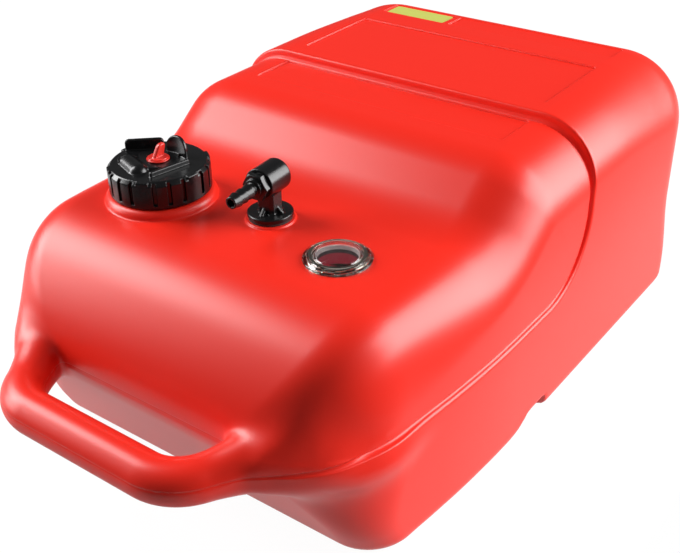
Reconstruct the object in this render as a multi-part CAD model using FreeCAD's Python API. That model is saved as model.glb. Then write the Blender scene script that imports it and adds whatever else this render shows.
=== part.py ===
import FreeCAD, Part
import math
import os
from FreeCAD import Vector

# Portable outboard fuel tank: one blow-moulded shell with an integral handle, and the cap, outlet and
# level gauge that are fitted to its deck.  Millimetres.  X runs across the tank, Y from the handle to the
# rear and Z up from the floor.  Everything is drawn with Y = 0 at the front wall's parting line, and moved
# by FRAME_SHIFT at export, so that the origin is the bottom centre of the whole tank.

# ---------------------------------------------------------------- tank body
BODY_LENGTH = 489.0            # front wall at the parting line to the rear wall
REAR_HALF_WIDTH = 159.0
FRONT_TAPER = 17.0             # narrowing of each side wall, produced forward to the front wall
TAPER_END_Y = 150.0            # behind this the side walls run parallel
TAPER_BLEND_R = 900.0
DECK_Z = 167.7                 # low deck that carries the fittings
TOP_Z = 202.2                  # top of the forward, inset part of the hump
REAR_FALL = 2.2                # gentle fall of the top to the rear wall
REAR_FALL_RUN = 89.0           # over this length
STEP = 6.0                     # the rear and lower body stands proud of the upper front by this
PARTING_Z = 93.5               # mould parting line on the front wall
FRONT_TOP_Y = 10.0             # how far the front wall leans back at deck level
FRONT_FOOT_Y = 51.0            # how far the lower front wall runs back at the floor
SLOPE_START_Y = 172.0          # foot of the slope from the deck up to the hump
SLOPE_GRADE = 0.69             # its rise over its run
FRONT_TOP_R = 62.0
FRONT_TOP_SHARE = 0.85         # of the upper front wall's height, the most that its rounding takes
PARTING_R = 46.0
SLOPE_FOOT_R = 60.0
SLOPE_HEAD_R = 60.0
SLOPE_FOOT_SHARE = 1.75        # of the hump's rise, the most that the slope's two roundings take
SLOPE_HEAD_SHARE = 3.4
REAR_TOP_R = 46.0
FALL_R = 60.0
EDGE_R = 42.0                  # rounding of the long edges and upright corners
FLOOR_R = 12.0                 # rounding round the floor
WALL = 3.0

# ledge where the proud rear and lower body meets the inset upper front
LEDGE_Z = 91.0
LEDGE_Y = 292.0
LEDGE_CORNER_R = 55.0

# channel across the underside
CHANNEL_START_Y = 184.0
CHANNEL_END_Y = 246.0
CHANNEL_DEPTH = 16.0
CHANNEL_RAMP = 34.0            # length of its gentle front rise
CHANNEL_WALL_RUN = 5.0         # lean of its steep rear wall
CHANNEL_R = 6.0

# shallow bare panels moulded into the top
PANEL_DEPTH = 1.2
PANEL_HALF_WIDTH = 106.0
PANEL_R = 1.5
FRONT_PANEL_GAP = 8.0          # front panel's rear edge to the ledge
FRONT_PANEL_WIDTH = 38.0       # measured along Y, as are the other panels' widths
MAIN_PANEL_GAP = 15.0          # ledge to the main panel's front edge
MAIN_PANEL_END = 99.5          # main panel's rear edge to the rear wall
REAR_PANEL_END = 49.0          # rear cells' rear edge to the rear wall
REAR_PANEL_WIDTH = 24.0
FRONT_PANEL_Y = (LEDGE_Y - FRONT_PANEL_GAP - FRONT_PANEL_WIDTH, LEDGE_Y - FRONT_PANEL_GAP)
MAIN_PANEL_Y = (LEDGE_Y + MAIN_PANEL_GAP, BODY_LENGTH - MAIN_PANEL_END)
REAR_PANEL_Y = (BODY_LENGTH - REAR_PANEL_END - REAR_PANEL_WIDTH, BODY_LENGTH - REAR_PANEL_END)
REAR_DIVIDER_X = -43.0         # ridge between the two rear cells
REAR_DIVIDER_WIDTH = 5.0

# carrying handle: straight grip, two bends, and arms that flare into the front corners
HANDLE_REACH = 57.6            # grip's outer face in front of the front wall
GRIP_R = 13.4
GRIP_HALF_LENGTH = 53.0        # to the start of the bend
GRIP_BEND_R = 28.0             # bend of the grip's centre line
ARM_HEADING = 60.0             # degrees from the grip to the arm, in plan
ARM_NECK_RUN = 26.0            # along the arm from the bend to its neck
ARM_NECK_WIDTH = 16.0          # half sizes of the arm at its neck and root
ARM_NECK_HEIGHT = 17.0
ARM_ROOT_RUN = 70.0
ARM_ROOT_WIDTH = 26.0
ARM_ROOT_HEIGHT = 27.0

# ---------------------------------------------------------------- filler neck and cap
FILLER_X = -73.7
FILLER_Y = 106.7
COLLAR_R = 37.4                # rounded ring moulded round the neck
COLLAR_TUBE_R = 4.6
COLLAR_RISE = 1.4              # its section's centre above the deck
NECK_R = 28.6
NECK_BORE_R = 24.5
NECK_HEIGHT = 19.4
SEAT_GAP = 0.1                 # between faces that seal against each other
GASKET_T = 2.0
GASKET_SIDE_GAP = 0.4
CAP_R = 34.1
CAP_LIFT = 6.7                 # cap's lower rim above the deck
CAP_TOP_WALL = 4.0
CAP_THREAD_GAP = 1.6
CAP_CHAMFER = 2.6
CAP_GROUPS = 6                 # groups of grip slots round the skirt
CAP_GROUP_AZIMUTH = -34.4
CAP_GROUP_ANGLE = 46.0
CAP_GROUP_SLOTS = 3
CAP_SLOT_PITCH = 16.5
CAP_SLOT_WIDTH = 2.6
CAP_SLOT_DEPTH = 1.9
CAP_SLOT_FOOT = 2.6            # plain band under the slots

# features on the cap's top, placed from its centre
PLINTH_SIZE = 27.0
PLINTH_AZIMUTH = 41.0
PLINTH_HEIGHT = 1.4
PLINTH_R = 3.0
PLATE_FIN_START = Vector(-31.0, 0.0)
PLATE_FIN_END = Vector(-11.4, 17.5)
PLATE_FIN_HEIGHT = 7.6
PLATE_FIN_R = 3.0
EAR_FIN_START = Vector(-4.7, 13.7)
EAR_FIN_END = Vector(13.5, 13.3)
EAR_FIN_HEIGHT = 13.6
EAR_FIN_R = 8.0
FIN_T = 2.6
RIDGE_START = Vector(13.0, -21.0)
RIDGE_END = Vector(19.0, 9.0)
RIDGE_HEIGHT = 3.4
RIDGE_R = 1.2
LUMP_START = Vector(-15.5, -12.5)
LUMP_END = Vector(-0.5, -18.0)
LUMP_R = 7.0
LUMP_HEIGHT = 4.6

# vent screw in the middle of the cap
VENT_STEM_R = 3.0
VENT_STEM_GAP = 0.08
VENT_FLANGE_R = 7.7
VENT_FLANGE_T = 1.8
VENT_STEP_R = 6.6              # upper, smaller step of the flange
VENT_STEP_T = 0.8
VENT_FLANGE_GAP = 0.15
VENT_PADDLE_WIDTH = 8.8
VENT_PADDLE_TOP_WIDTH = 6.2
VENT_PADDLE_HEIGHT = 8.8
VENT_PADDLE_SWEEP = 3.0        # its top's offset towards the rear
VENT_PADDLE_T = 3.4
VENT_PADDLE_R = 2.4
VENT_PADDLE_LEAN = 8.0         # degrees, towards the gauge
VENT_RING_TUBE_R = 0.9
VENT_RING_GAP = 0.05
VENT_RING_SIDE_GAP = 0.3
VENT_LIFT = 3.0                # rise of the opened screw
VENT_CLIP_R = 5.2
VENT_CLIP_T = 1.2
VENT_CLIP_GAP = 0.4
VENT_TAIL = 2.0                # stem below the clip

# ---------------------------------------------------------------- outlet
OUTLET_X = 7.3
OUTLET_Y = 123.2
BOSS_R = 16.4
BOSS_HEIGHT = 1.4
BOSS_DROP = 12.0               # socket moulded under the deck
BOSS_SOCKET_R = 11.0
SPIGOT_R = 6.9
SPIGOT_GAP = 0.1
OUTLET_GASKET_R = 14.4
OUTLET_GASKET_T = 1.6
OUTLET_FLANGE_R = 15.1
OUTLET_FLANGE_T = 3.2
STEM_SIZE = 12.8
STEM_CHAMFER = 2.0
STEM_FOOT_R = 2.4
STEM_RIB_T = 2.6               # stiffening ribs from the stem's front and right faces to the flange
STEM_RIB_REACH = 4.6
STEM_RIB_HEIGHT = 4.2
STEM_BORE_R = 3.0
BARREL_R = 10.5
BARREL_AXIS_Z = 196.0
BARREL_FRONT = 10.2            # from the stem's axis to the barrel's two ends
BARREL_REAR = 11.5
BARREL_TURN = 4.0              # degrees, towards the gauge
BARREL_CHAMFER = 1.6
BARREL_BORE_R = 3.2
SOCKET_R = 6.6
SOCKET_DEPTH = 9.5

# check valve in the spigot
SEAT_PLUG_R = 5.2
SEAT_PLUG_LENGTH = 6.0
SEAT_BORE_R = 2.6
NIPPLE_R = 4.2
NIPPLE_LENGTH = 12.0
BALL_R = 4.0
BALL_GAP = 0.3
BALL_TRAVEL = 2.0
SPRING_TOP_Z = 178.0
SPRING_R = 3.2
SPRING_WIRE_R = 0.35
SPRING_WIRE_SIDES = 6
SPRING_TURNS = 5

# hose barb screwed into the barrel
SLEEVE_GAP = 0.1
SLEEVE_LENGTH = 8.0
BARB_HEX_FLATS = 16.5
BARB_HEX_T = 5.0
BARB_SHOULDER_R = 6.2
BARB_SHOULDER_T = 2.0
BARB_ROOT_R = 4.0
BARB_RIDGE_R = 5.0
BARB_RIDGES = 3
BARB_RIDGE_PITCH = 6.0
BARB_TIP_R = 3.7
BARB_LENGTH = 21.8
BARB_BORE_R = 2.3
BARB_RING_TUBE_R = 0.9

# pick-up tube and strainer
PICKUP_FIT = 0.05
PICKUP_WALL = 1.4
PICKUP_FLOOR_GAP = 8.0
STRAINER_R = 8.0
STRAINER_WALL = 1.2
STRAINER_HEIGHT = 18.0
STRAINER_FLOOR_GAP = 1.0
STRAINER_SLOTS = 8
STRAINER_SLOT_WIDTH = 2.4
STRAINER_BAND = 3.0            # plain bands above and below the slots

# ---------------------------------------------------------------- level gauge
GAUGE_X = 73.7
GAUGE_Y = 106.3
GAUGE_HOLE_R = 14.6
GAUGE_RING_R = 21.7
GAUGE_RING_WALL = 3.0
GAUGE_RING_HEIGHT = 3.9
GAUGE_LIP_R = 15.6
GAUGE_NOTCHES = 6
GAUGE_NOTCH_AZIMUTH = 50.0
GAUGE_NOTCH_ANGLE = 21.0
GAUGE_NOTCH_DEPTH = 2.2
GAUGE_GASKET_T = 0.8
GAUGE_FLANGE_T = 1.0
LENS_FLANGE_T = 0.9
LENS_R = 15.3
LENS_SKIRT = 0.8
LENS_RISE = 3.2
LENS_WALL = 1.4
FRAME_FIT = 0.2
FRAME_WALL = 1.4
FRAME_TUBE_LENGTH = 11.0
CHEEK_INNER_X = 10.5
CHEEK_WIDTH = 9.0
CHEEK_OVERLAP = 4.0            # cheek's run up inside the tube's wall
PIVOT_DROP = 20.0              # pivot below the deck
PIVOT_R = 1.5
PIVOT_GAP = 0.05
PIVOT_END_GAP = 0.6
DRUM_R = 9.0
DRUM_SIDE_GAP = 0.4
ARM_WIRE_R = 1.5
ARM_START = 4.0                # arm's inner end, from the pivot
ARM_LENGTH = 134.0             # pivot to the float's centre
EMPTY_ANGLE = 72.0             # arm below level with the tank empty
FLOAT_R = 12.0
FLOAT_LENGTH = 40.0
FLOAT_BEVEL = 3.0

# ---------------------------------------------------------------- label
LABEL_T = 0.3
LABEL_MARGIN = 2.0
LABEL_R = 2.0

FRAME_SHIFT = Vector(0, -(BODY_LENGTH - HANDLE_REACH) / 2, 0)
UP = Vector(0, 0, 1)
ACROSS = Vector(1, 0, 0)
FULL_TURN = 360.0
FAR = 900.0                    # past every face of the tank
TOUCH = 1e-4                   # points nearer than this are one


# ---------------------------------------------------------------- drawing helpers
def rounded_wire(points, radii):
    """Closed wire through the points; each corner has its own radius, and 0 leaves it sharp."""
    count = len(points)
    starts, ends, middles = [], [], []
    for index in range(count):
        before, corner, after = points[index - 1], points[index], points[(index + 1) % count]
        to_before = (before - corner).normalize()
        to_after = (after - corner).normalize()
        half = to_before.getAngle(to_after) / 2
        reach = radii[index] / math.tan(half)
        bisector = (to_before + to_after).normalize()
        starts.append(corner + to_before * reach)
        ends.append(corner + to_after * reach)
        middles.append(corner + bisector * (radii[index] / math.sin(half) - radii[index]))
    edges = []
    for index in range(count):
        following = (index + 1) % count
        if radii[index] > 0:
            edges.append(Part.Arc(starts[index], middles[index], ends[index]).toShape())
        if ends[index].distanceToPoint(starts[following]) > TOUCH:
            edges.append(Part.LineSegment(ends[index], starts[following]).toShape())
    return Part.Wire(edges)


def side_prism(corners, half_width):
    """Prism across the tank from (y, z, radius) corners."""
    points = [Vector(-half_width, y, z) for y, z, _ in corners]
    face = Part.Face(rounded_wire(points, [radius for _, _, radius in corners]))
    return face.extrude(ACROSS * 2 * half_width)


def disc(x, y, z, radius, height):
    """Upright cylinder standing at height z."""
    return Part.makeCylinder(radius, height, Vector(x, y, z))


def tube(x, y, z, outer, inner, height):
    """Upright tube standing at height z."""
    return disc(x, y, z, outer, height).cut(disc(x, y, z, inner, height))


def block(x_range, y_range, z_range):
    """Block between the given limits."""
    size = [high - low for low, high in (x_range, y_range, z_range)]
    return Part.makeBox(*size, Vector(x_range[0], y_range[0], z_range[0]))


def turned(shape, azimuth, centre):
    """The shape turned about the upright axis through the centre."""
    copy = shape.copy()
    copy.rotate(centre, UP, azimuth)
    return copy


def fused(shapes):
    """One solid from shapes that meet."""
    return shapes[0].multiFuse(shapes[1:]).removeSplitter()


def less(shape, tools):
    """The shape with each tool cut from it."""
    for tool in tools:
        shape = shape.cut(tool)
    return shape


def seal_ring(centre, axis, radius, half_section):
    """Sealing ring round an axis, its section eight-sided so that it beds flat against its seats."""
    across = axis.cross(Vector(1, 0, 0) if abs(axis.z) > abs(axis.x) else UP).normalize()
    side = FULL_TURN / 8
    reach = half_section / math.cos(math.radians(side / 2))
    corners = []
    for index in range(8):
        angle = math.radians(side * (index + 0.5))
        corners.append(centre + across * (radius + reach * math.cos(angle)) + axis * reach * math.sin(angle))
    return Part.Face(Part.makePolygon(corners + corners[:1])).revolve(centre, axis, FULL_TURN)


def fillet_where(shape, radius, wanted):
    """Round the edges that the test picks."""
    return shape.makeFillet(radius, [edge for edge in shape.Edges if wanted(edge)])


def upright_edges(edge):
    """True for a straight edge along Z."""
    box = edge.BoundBox
    return box.ZLength > TOUCH and max(box.XLength, box.YLength) < TOUCH


# ---------------------------------------------------------------- body of the tank
def body_outline(raised, length):
    """Corners (y, z, radius) of the side view, its top raised, from the front foot round the rear."""
    rise = TOP_Z - DECK_Z
    slope_end = SLOPE_START_Y + rise / SLOPE_GRADE
    foot_r = min(SLOPE_FOOT_R, SLOPE_FOOT_SHARE * rise)
    head_r = min(SLOPE_HEAD_R, SLOPE_HEAD_SHARE * rise)
    front_top_r = min(FRONT_TOP_R, FRONT_TOP_SHARE * (DECK_Z - PARTING_Z))
    return [
        (FRONT_FOOT_Y, 0, 0),
        (length, 0, 0),
        (length, TOP_Z - REAR_FALL + raised, REAR_TOP_R),
        (BODY_LENGTH - REAR_FALL_RUN, TOP_Z + raised, FALL_R),
        (slope_end, TOP_Z + raised, head_r + raised),
        (SLOPE_START_Y, DECK_Z + raised, foot_r - raised),
        (FRONT_TOP_Y, DECK_Z + raised, front_top_r),
        (0, PARTING_Z, PARTING_R),
    ]


def inset_outline(outline, inset):
    """The outline with every side moved inwards, and its arcs kept concentric."""
    points = [Vector(0, y, z) for y, z, _ in outline]
    count = len(points)
    lines = []
    for index in range(count):
        along = (points[(index + 1) % count] - points[index]).normalize()
        inward = Vector(0, -along.z, along.y)
        lines.append((points[index] + inward * inset, along))
    corners = []
    for index in range(count):
        start_a, along_a = lines[index - 1]
        start_b, along_b = lines[index]
        offset = start_b - start_a
        turn = along_a.y * along_b.z - along_a.z * along_b.y
        run = (offset.y * along_b.z - offset.z * along_b.y) / turn
        corner = start_a + along_a * run
        radius = outline[index][2]
        if radius > 0:
            radius = radius - math.copysign(inset, turn)
        corners.append((corner.y, corner.z, radius))
    return corners


def plan_prism(inset):
    """Upright prism between the two side walls, past both ends of the body."""
    front_y = -HANDLE_REACH
    end_y = BODY_LENGTH + HANDLE_REACH
    front_x = REAR_HALF_WIDTH - FRONT_TAPER * (TAPER_END_Y - front_y) / TAPER_END_Y - inset
    rear_x = REAR_HALF_WIDTH - inset
    right = [(front_x, front_y, 0), (rear_x, TAPER_END_Y, TAPER_BLEND_R), (rear_x, end_y, 0)]
    left = [(-x, y, radius) for x, y, radius in reversed(right)]
    corners = right + left
    points = [Vector(x, y, -STEP) for x, y, _ in corners]
    face = Part.Face(rounded_wire(points, [radius for _, _, radius in corners]))
    return face.extrude(UP * FAR)


def body_solid(wall, step):
    """Body with its walls inset by the wall, and its top, sides and rear by the step as well."""
    outline = body_outline(STEP - step, BODY_LENGTH - step)
    slab = side_prism(inset_outline(outline, wall), FAR)
    body = slab.common(plan_prism(wall + step)).Solids[0]

    def runs_across(face):
        return face.BoundBox.XLength > REAR_HALF_WIDTH

    def long_edge(edge):
        kinds = [runs_across(face) for face in body.ancestorsOfType(edge, Part.Face)]
        return edge.BoundBox.ZMax > wall + TOUCH and True in kinds and False in kinds

    def floor_edge(edge):
        return edge.BoundBox.ZMax < wall + TOUCH

    body = fillet_where(body, EDGE_R - wall, long_edge)
    return fillet_where(body, FLOOR_R - wall, floor_edge)


def ledge_region(wall):
    """Side-view region above and in front of the ledge, grown by the wall."""
    low = LEDGE_Z - wall
    back = LEDGE_Y + wall
    corners = [(-FAR, low, 0), (back, low, LEDGE_CORNER_R + wall), (back, FAR, 0), (-FAR, FAR, 0)]
    return side_prism(corners, FAR)


def stepped_body(wall):
    """Proud rear and lower body, with the upper front inset behind the ledge."""
    proud = body_solid(wall, 0).cut(ledge_region(wall))
    return proud.fuse(body_solid(wall, STEP)).removeSplitter()


def channel(wall):
    """Cross channel up into the underside: a gentle front rise and a steep rear wall."""
    top = CHANNEL_DEPTH + wall
    ramp = CHANNEL_RAMP / CHANNEL_DEPTH
    lean = CHANNEL_WALL_RUN / CHANNEL_DEPTH
    start = CHANNEL_START_Y - wall * math.sqrt(1 + ramp ** 2)
    end = CHANNEL_END_Y + wall * math.sqrt(1 + lean ** 2)
    corners = [
        (start - WALL * ramp, -WALL, 0),
        (end + WALL * lean, -WALL, 0),
        (end - top * lean, top, CHANNEL_R + wall),
        (start + top * ramp, top, CHANNEL_R + wall),
    ]
    return side_prism(corners, FAR)


# ---------------------------------------------------------------- rest of the tank shell
def oval(centre, heading, half_width, half_height):
    """Upright oval wire across a heading in plan."""
    angle = math.radians(heading)
    across = Vector(-math.sin(angle), math.cos(angle), 0)
    if half_width > half_height:
        curve = Part.Ellipse(centre + across * half_width, centre + UP * half_height, centre)
    elif half_width < half_height:
        curve = Part.Ellipse(centre + UP * half_height, centre - across * half_width, centre)
    else:
        curve = Part.Circle(centre, across.cross(UP), half_width)
    return Part.Wire(curve.toShape())


def carrying_handle():
    """Straight grip, two bends, and arms that flare into the front corners."""
    grip_y = GRIP_R - HANDLE_REACH
    bend_start = Vector(GRIP_HALF_LENGTH, grip_y, PARTING_Z)
    bend_centre = bend_start + Vector(0, GRIP_BEND_R, 0)
    section = Part.Face(oval(bend_start, 0, GRIP_R, GRIP_R))
    bend = section.revolve(bend_centre, UP, ARM_HEADING)
    angle = math.radians(ARM_HEADING)
    ahead = Vector(math.cos(angle), math.sin(angle), 0)
    bend_end = bend_centre + Vector(math.sin(angle), -math.cos(angle), 0) * GRIP_BEND_R
    arm = Part.makeLoft([
        oval(bend_end, ARM_HEADING, GRIP_R, GRIP_R),
        oval(bend_end + ahead * ARM_NECK_RUN, ARM_HEADING, ARM_NECK_WIDTH, ARM_NECK_HEIGHT),
        oval(bend_end + ahead * ARM_ROOT_RUN, ARM_HEADING, ARM_ROOT_WIDTH, ARM_ROOT_HEIGHT),
    ], True)
    grip = section.extrude(ACROSS * -2 * GRIP_HALF_LENGTH)
    arms = [side.mirror(Vector(), ACROSS) for side in (bend, arm)]
    return fused([grip, bend, arm] + arms)


def rear_cell_z():
    """Height of the rear cells' floor, below the falling top at their rear edge."""
    fallen = REAR_PANEL_Y[1] - (BODY_LENGTH - REAR_FALL_RUN)
    return TOP_Z + STEP - REAR_FALL * fallen / REAR_FALL_RUN - PANEL_DEPTH


def label_cell():
    """Limits across the tank of the rear cell that carries the label."""
    return (-PANEL_HALF_WIDTH, REAR_DIVIDER_X - REAR_DIVIDER_WIDTH / 2)


def panel_cuts():
    """Shallow recesses in the top, the rear one divided in two."""
    whole = (-PANEL_HALF_WIDTH, PANEL_HALF_WIDTH)
    right_cell = (REAR_DIVIDER_X + REAR_DIVIDER_WIDTH / 2, PANEL_HALF_WIDTH)
    recesses = [
        (whole, FRONT_PANEL_Y, TOP_Z - PANEL_DEPTH),
        (whole, MAIN_PANEL_Y, TOP_Z + STEP - PANEL_DEPTH),
        (label_cell(), REAR_PANEL_Y, rear_cell_z()),
        (right_cell, REAR_PANEL_Y, rear_cell_z()),
    ]
    cuts = [block(across, along, (floor, floor + STEP)) for across, along, floor in recesses]
    return [fillet_where(cut, PANEL_R, upright_edges) for cut in cuts]


def tank_shell():
    """The blow moulding: body, handle, neck, bosses, panels, channel and the fuel space."""
    ring_r = COLLAR_R - COLLAR_TUBE_R
    socket_z = DECK_Z - BOSS_DROP
    outside = fused([
        stepped_body(0),
        carrying_handle(),
        disc(FILLER_X, FILLER_Y, DECK_Z - WALL, NECK_R, WALL + NECK_HEIGHT),
        Part.makeTorus(ring_r, COLLAR_TUBE_R, Vector(FILLER_X, FILLER_Y, DECK_Z + COLLAR_RISE)),
        disc(OUTLET_X, OUTLET_Y, DECK_Z - WALL, BOSS_R, WALL + BOSS_HEIGHT),
    ])
    outside = less(outside, panel_cuts() + [channel(0)])
    fuel_space = less(stepped_body(WALL), [
        channel(WALL),
        disc(OUTLET_X, OUTLET_Y, socket_z, BOSS_SOCKET_R, BOSS_DROP),
    ])
    through = 2 * WALL + NECK_HEIGHT
    return less(outside, [
        fuel_space,
        disc(FILLER_X, FILLER_Y, DECK_Z - 2 * WALL, NECK_BORE_R, through),
        disc(OUTLET_X, OUTLET_Y, socket_z, SPIGOT_R + SPIGOT_GAP, BOSS_DROP + BOSS_HEIGHT),
        disc(GAUGE_X, GAUGE_Y, DECK_Z - 2 * WALL, GAUGE_HOLE_R, through),
    ])


# ---------------------------------------------------------------- filler cap
NECK_TOP_Z = DECK_Z + NECK_HEIGHT
CAP_CAVITY_R = NECK_R + CAP_THREAD_GAP
CAP_FOOT_Z = DECK_Z + CAP_LIFT
CAP_ROOF_Z = NECK_TOP_Z + GASKET_T + 2 * SEAT_GAP
CAP_TOP_Z = CAP_ROOF_Z + CAP_TOP_WALL
PLINTH_TOP_Z = CAP_TOP_Z + PLINTH_HEIGHT
FILLER_CENTRE = Vector(FILLER_X, FILLER_Y, 0)


def cap_point(offset, z):
    """A point on the cap, from its offset in plan."""
    return FILLER_CENTRE + offset + UP * z


def standing_plate(start, end, thickness, height, corner_r):
    """Plate standing on the cap's top between two offsets, its two upper corners rounded."""
    along = (end - start).normalize()
    normal = along.cross(UP)
    low = CAP_TOP_Z - CAP_TOP_WALL / 2
    high = CAP_TOP_Z + height
    foot = [cap_point(start, low), cap_point(end, low)]
    top = [cap_point(end, high), cap_point(start, high)]
    wire = rounded_wire(foot + top, [0, 0, corner_r, corner_r])
    wire.translate(normal * (-thickness / 2))
    return Part.Face(wire).extrude(normal * thickness)


def thumb_lump():
    """Long low dome moulded on the cap's top."""
    along = LUMP_END - LUMP_START
    centre_z = CAP_TOP_Z + LUMP_HEIGHT - LUMP_R
    start = cap_point(LUMP_START, centre_z)
    end = cap_point(LUMP_END, centre_z)
    ends = [Part.makeSphere(LUMP_R, point) for point in (start, end)]
    return fused([Part.makeCylinder(LUMP_R, along.Length, start, along)] + ends)


def plinth():
    """Square pad round the vent screw, its side edges rounded."""
    half = PLINTH_SIZE / 2
    x_range = (FILLER_X - half, FILLER_X + half)
    y_range = (FILLER_Y - half, FILLER_Y + half)
    pad = block(x_range, y_range, (CAP_TOP_Z - CAP_TOP_WALL / 2, PLINTH_TOP_Z))
    return turned(fillet_where(pad, PLINTH_R, upright_edges), PLINTH_AZIMUTH, FILLER_CENTRE)


def grip_slots():
    """Slots of one group, cut in the skirt's outer face."""
    half = CAP_SLOT_WIDTH / 2
    x_range = (FILLER_X + CAP_R - CAP_SLOT_DEPTH, FILLER_X + CAP_R + CAP_SLOT_DEPTH)
    y_range = (FILLER_Y - half, FILLER_Y + half)
    slot = block(x_range, y_range, (CAP_FOOT_Z + CAP_SLOT_FOOT, CAP_TOP_Z))
    middle = (CAP_GROUP_SLOTS - 1) / 2
    angles = [CAP_SLOT_PITCH * (index - middle) for index in range(CAP_GROUP_SLOTS)]
    return [turned(slot, angle, FILLER_CENTRE) for angle in angles]


def rim_chamfer():
    """Wedge that bevels the cap's top rim over one group of slots."""
    inner = FILLER_X + CAP_R - CAP_CHAMFER
    outer = FILLER_X + CAP_R
    corners = [
        Vector(inner, FILLER_Y, CAP_TOP_Z),
        Vector(outer, FILLER_Y, CAP_TOP_Z - CAP_CHAMFER),
        Vector(outer + CAP_CHAMFER, FILLER_Y, CAP_TOP_Z),
    ]
    section = Part.Face(Part.makePolygon(corners + corners[:1]))
    wedge = section.revolve(FILLER_CENTRE, UP, CAP_GROUP_ANGLE)
    return turned(wedge, -CAP_GROUP_ANGLE / 2, FILLER_CENTRE)


def vent_seat():
    """Recess in the plinth that holds the vent screw's seal."""
    depth = VENT_FLANGE_GAP + VENT_RING_GAP + 2 * VENT_RING_TUBE_R
    radius = VENT_STEM_R + 2 * VENT_RING_TUBE_R + VENT_RING_SIDE_GAP
    return disc(FILLER_X, FILLER_Y, PLINTH_TOP_Z - depth, radius, depth)


def filler_cap():
    """Screw cap with grouped grip slots, two fins, a ridge, a lump and the vent's plinth."""
    outside = fused([
        disc(FILLER_X, FILLER_Y, CAP_FOOT_Z, CAP_R, CAP_TOP_Z - CAP_FOOT_Z),
        plinth(),
        standing_plate(PLATE_FIN_START, PLATE_FIN_END, FIN_T, PLATE_FIN_HEIGHT, PLATE_FIN_R),
        standing_plate(EAR_FIN_START, EAR_FIN_END, FIN_T, EAR_FIN_HEIGHT, EAR_FIN_R),
        standing_plate(RIDGE_START, RIDGE_END, FIN_T, RIDGE_HEIGHT, RIDGE_R),
        thumb_lump(),
    ])
    group = grip_slots() + [rim_chamfer()]
    cuts = []
    for index in range(CAP_GROUPS):
        azimuth = CAP_GROUP_AZIMUTH + FULL_TURN * index / CAP_GROUPS
        cuts += [turned(cut, azimuth, FILLER_CENTRE) for cut in group]
    cuts.append(disc(FILLER_X, FILLER_Y, CAP_FOOT_Z, CAP_CAVITY_R, CAP_ROOF_Z - CAP_FOOT_Z))
    cuts.append(disc(FILLER_X, FILLER_Y, CAP_FOOT_Z, VENT_STEM_R + VENT_STEM_GAP, FAR))
    return less(outside, cuts + [vent_seat()])


def cap_gasket():
    """Flat ring between the neck's rim and the cap's roof."""
    outer = CAP_CAVITY_R - GASKET_SIDE_GAP
    return tube(FILLER_X, FILLER_Y, NECK_TOP_Z + SEAT_GAP, outer, NECK_BORE_R, GASKET_T)


# ---------------------------------------------------------------- vent screw
VENT_FLANGE_Z = PLINTH_TOP_Z + VENT_FLANGE_GAP
VENT_CLIP_Z = CAP_ROOF_Z - VENT_LIFT - VENT_CLIP_GAP - VENT_CLIP_T


def vent_paddle():
    """Thin thumb paddle standing on the flange: narrower and swept back at the top, leaning a little."""
    half = VENT_PADDLE_WIDTH / 2
    top_half = VENT_PADDLE_TOP_WIDTH / 2
    x = FILLER_X - VENT_PADDLE_T / 2
    foot = VENT_FLANGE_Z + VENT_FLANGE_T / 2
    top = VENT_FLANGE_Z + VENT_FLANGE_T + VENT_PADDLE_HEIGHT
    top_y = FILLER_Y + VENT_PADDLE_SWEEP
    corners = [
        Vector(x, FILLER_Y - half, foot),
        Vector(x, FILLER_Y + half, foot),
        Vector(x, top_y + top_half, top),
        Vector(x, top_y - top_half, top),
    ]
    face = Part.Face(rounded_wire(corners, [0, 0, VENT_PADDLE_R, VENT_PADDLE_R]))
    paddle = face.extrude(ACROSS * VENT_PADDLE_T)
    paddle.rotate(Vector(FILLER_X, FILLER_Y, foot), Vector(0, 1, 0), VENT_PADDLE_LEAN)
    return paddle


def vent_screw():
    """Stem through the cap, with a stepped round flange and a thumb paddle."""
    foot = VENT_CLIP_Z - VENT_TAIL
    return fused([
        disc(FILLER_X, FILLER_Y, foot, VENT_STEM_R, VENT_FLANGE_Z - foot),
        disc(FILLER_X, FILLER_Y, VENT_FLANGE_Z, VENT_FLANGE_R, VENT_FLANGE_T - VENT_STEP_T),
        disc(FILLER_X, FILLER_Y, VENT_FLANGE_Z, VENT_STEP_R, VENT_FLANGE_T),
        vent_paddle(),
    ])


def vent_o_ring():
    """Seal round the stem, under the flange."""
    centre_z = VENT_FLANGE_Z - VENT_RING_GAP - VENT_RING_TUBE_R
    radius = VENT_STEM_R + VENT_RING_GAP + VENT_RING_TUBE_R
    return seal_ring(cap_point(Vector(), centre_z), UP, radius, VENT_RING_TUBE_R)


def vent_retainer():
    """Push-on clip that stops the screw from leaving the cap."""
    return tube(FILLER_X, FILLER_Y, VENT_CLIP_Z, VENT_CLIP_R, VENT_STEM_R, VENT_CLIP_T)


# ---------------------------------------------------------------- outlet elbow
BOSS_TOP_Z = DECK_Z + BOSS_HEIGHT
OUTLET_FLANGE_Z = BOSS_TOP_Z + OUTLET_GASKET_T
OUTLET_STEM_Z = OUTLET_FLANGE_Z + OUTLET_FLANGE_T
SPIGOT_FOOT_Z = DECK_Z - BOSS_DROP
SEAT_TOP_Z = SPIGOT_FOOT_Z + SEAT_PLUG_LENGTH
BALL_BORE_R = BALL_R + BALL_GAP
BARREL_ANGLE = math.radians(BARREL_TURN)
AIM = Vector(math.sin(BARREL_ANGLE), -math.cos(BARREL_ANGLE), 0)
BARREL_FACE = Vector(OUTLET_X, OUTLET_Y, BARREL_AXIS_Z) + AIM * BARREL_FRONT


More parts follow.
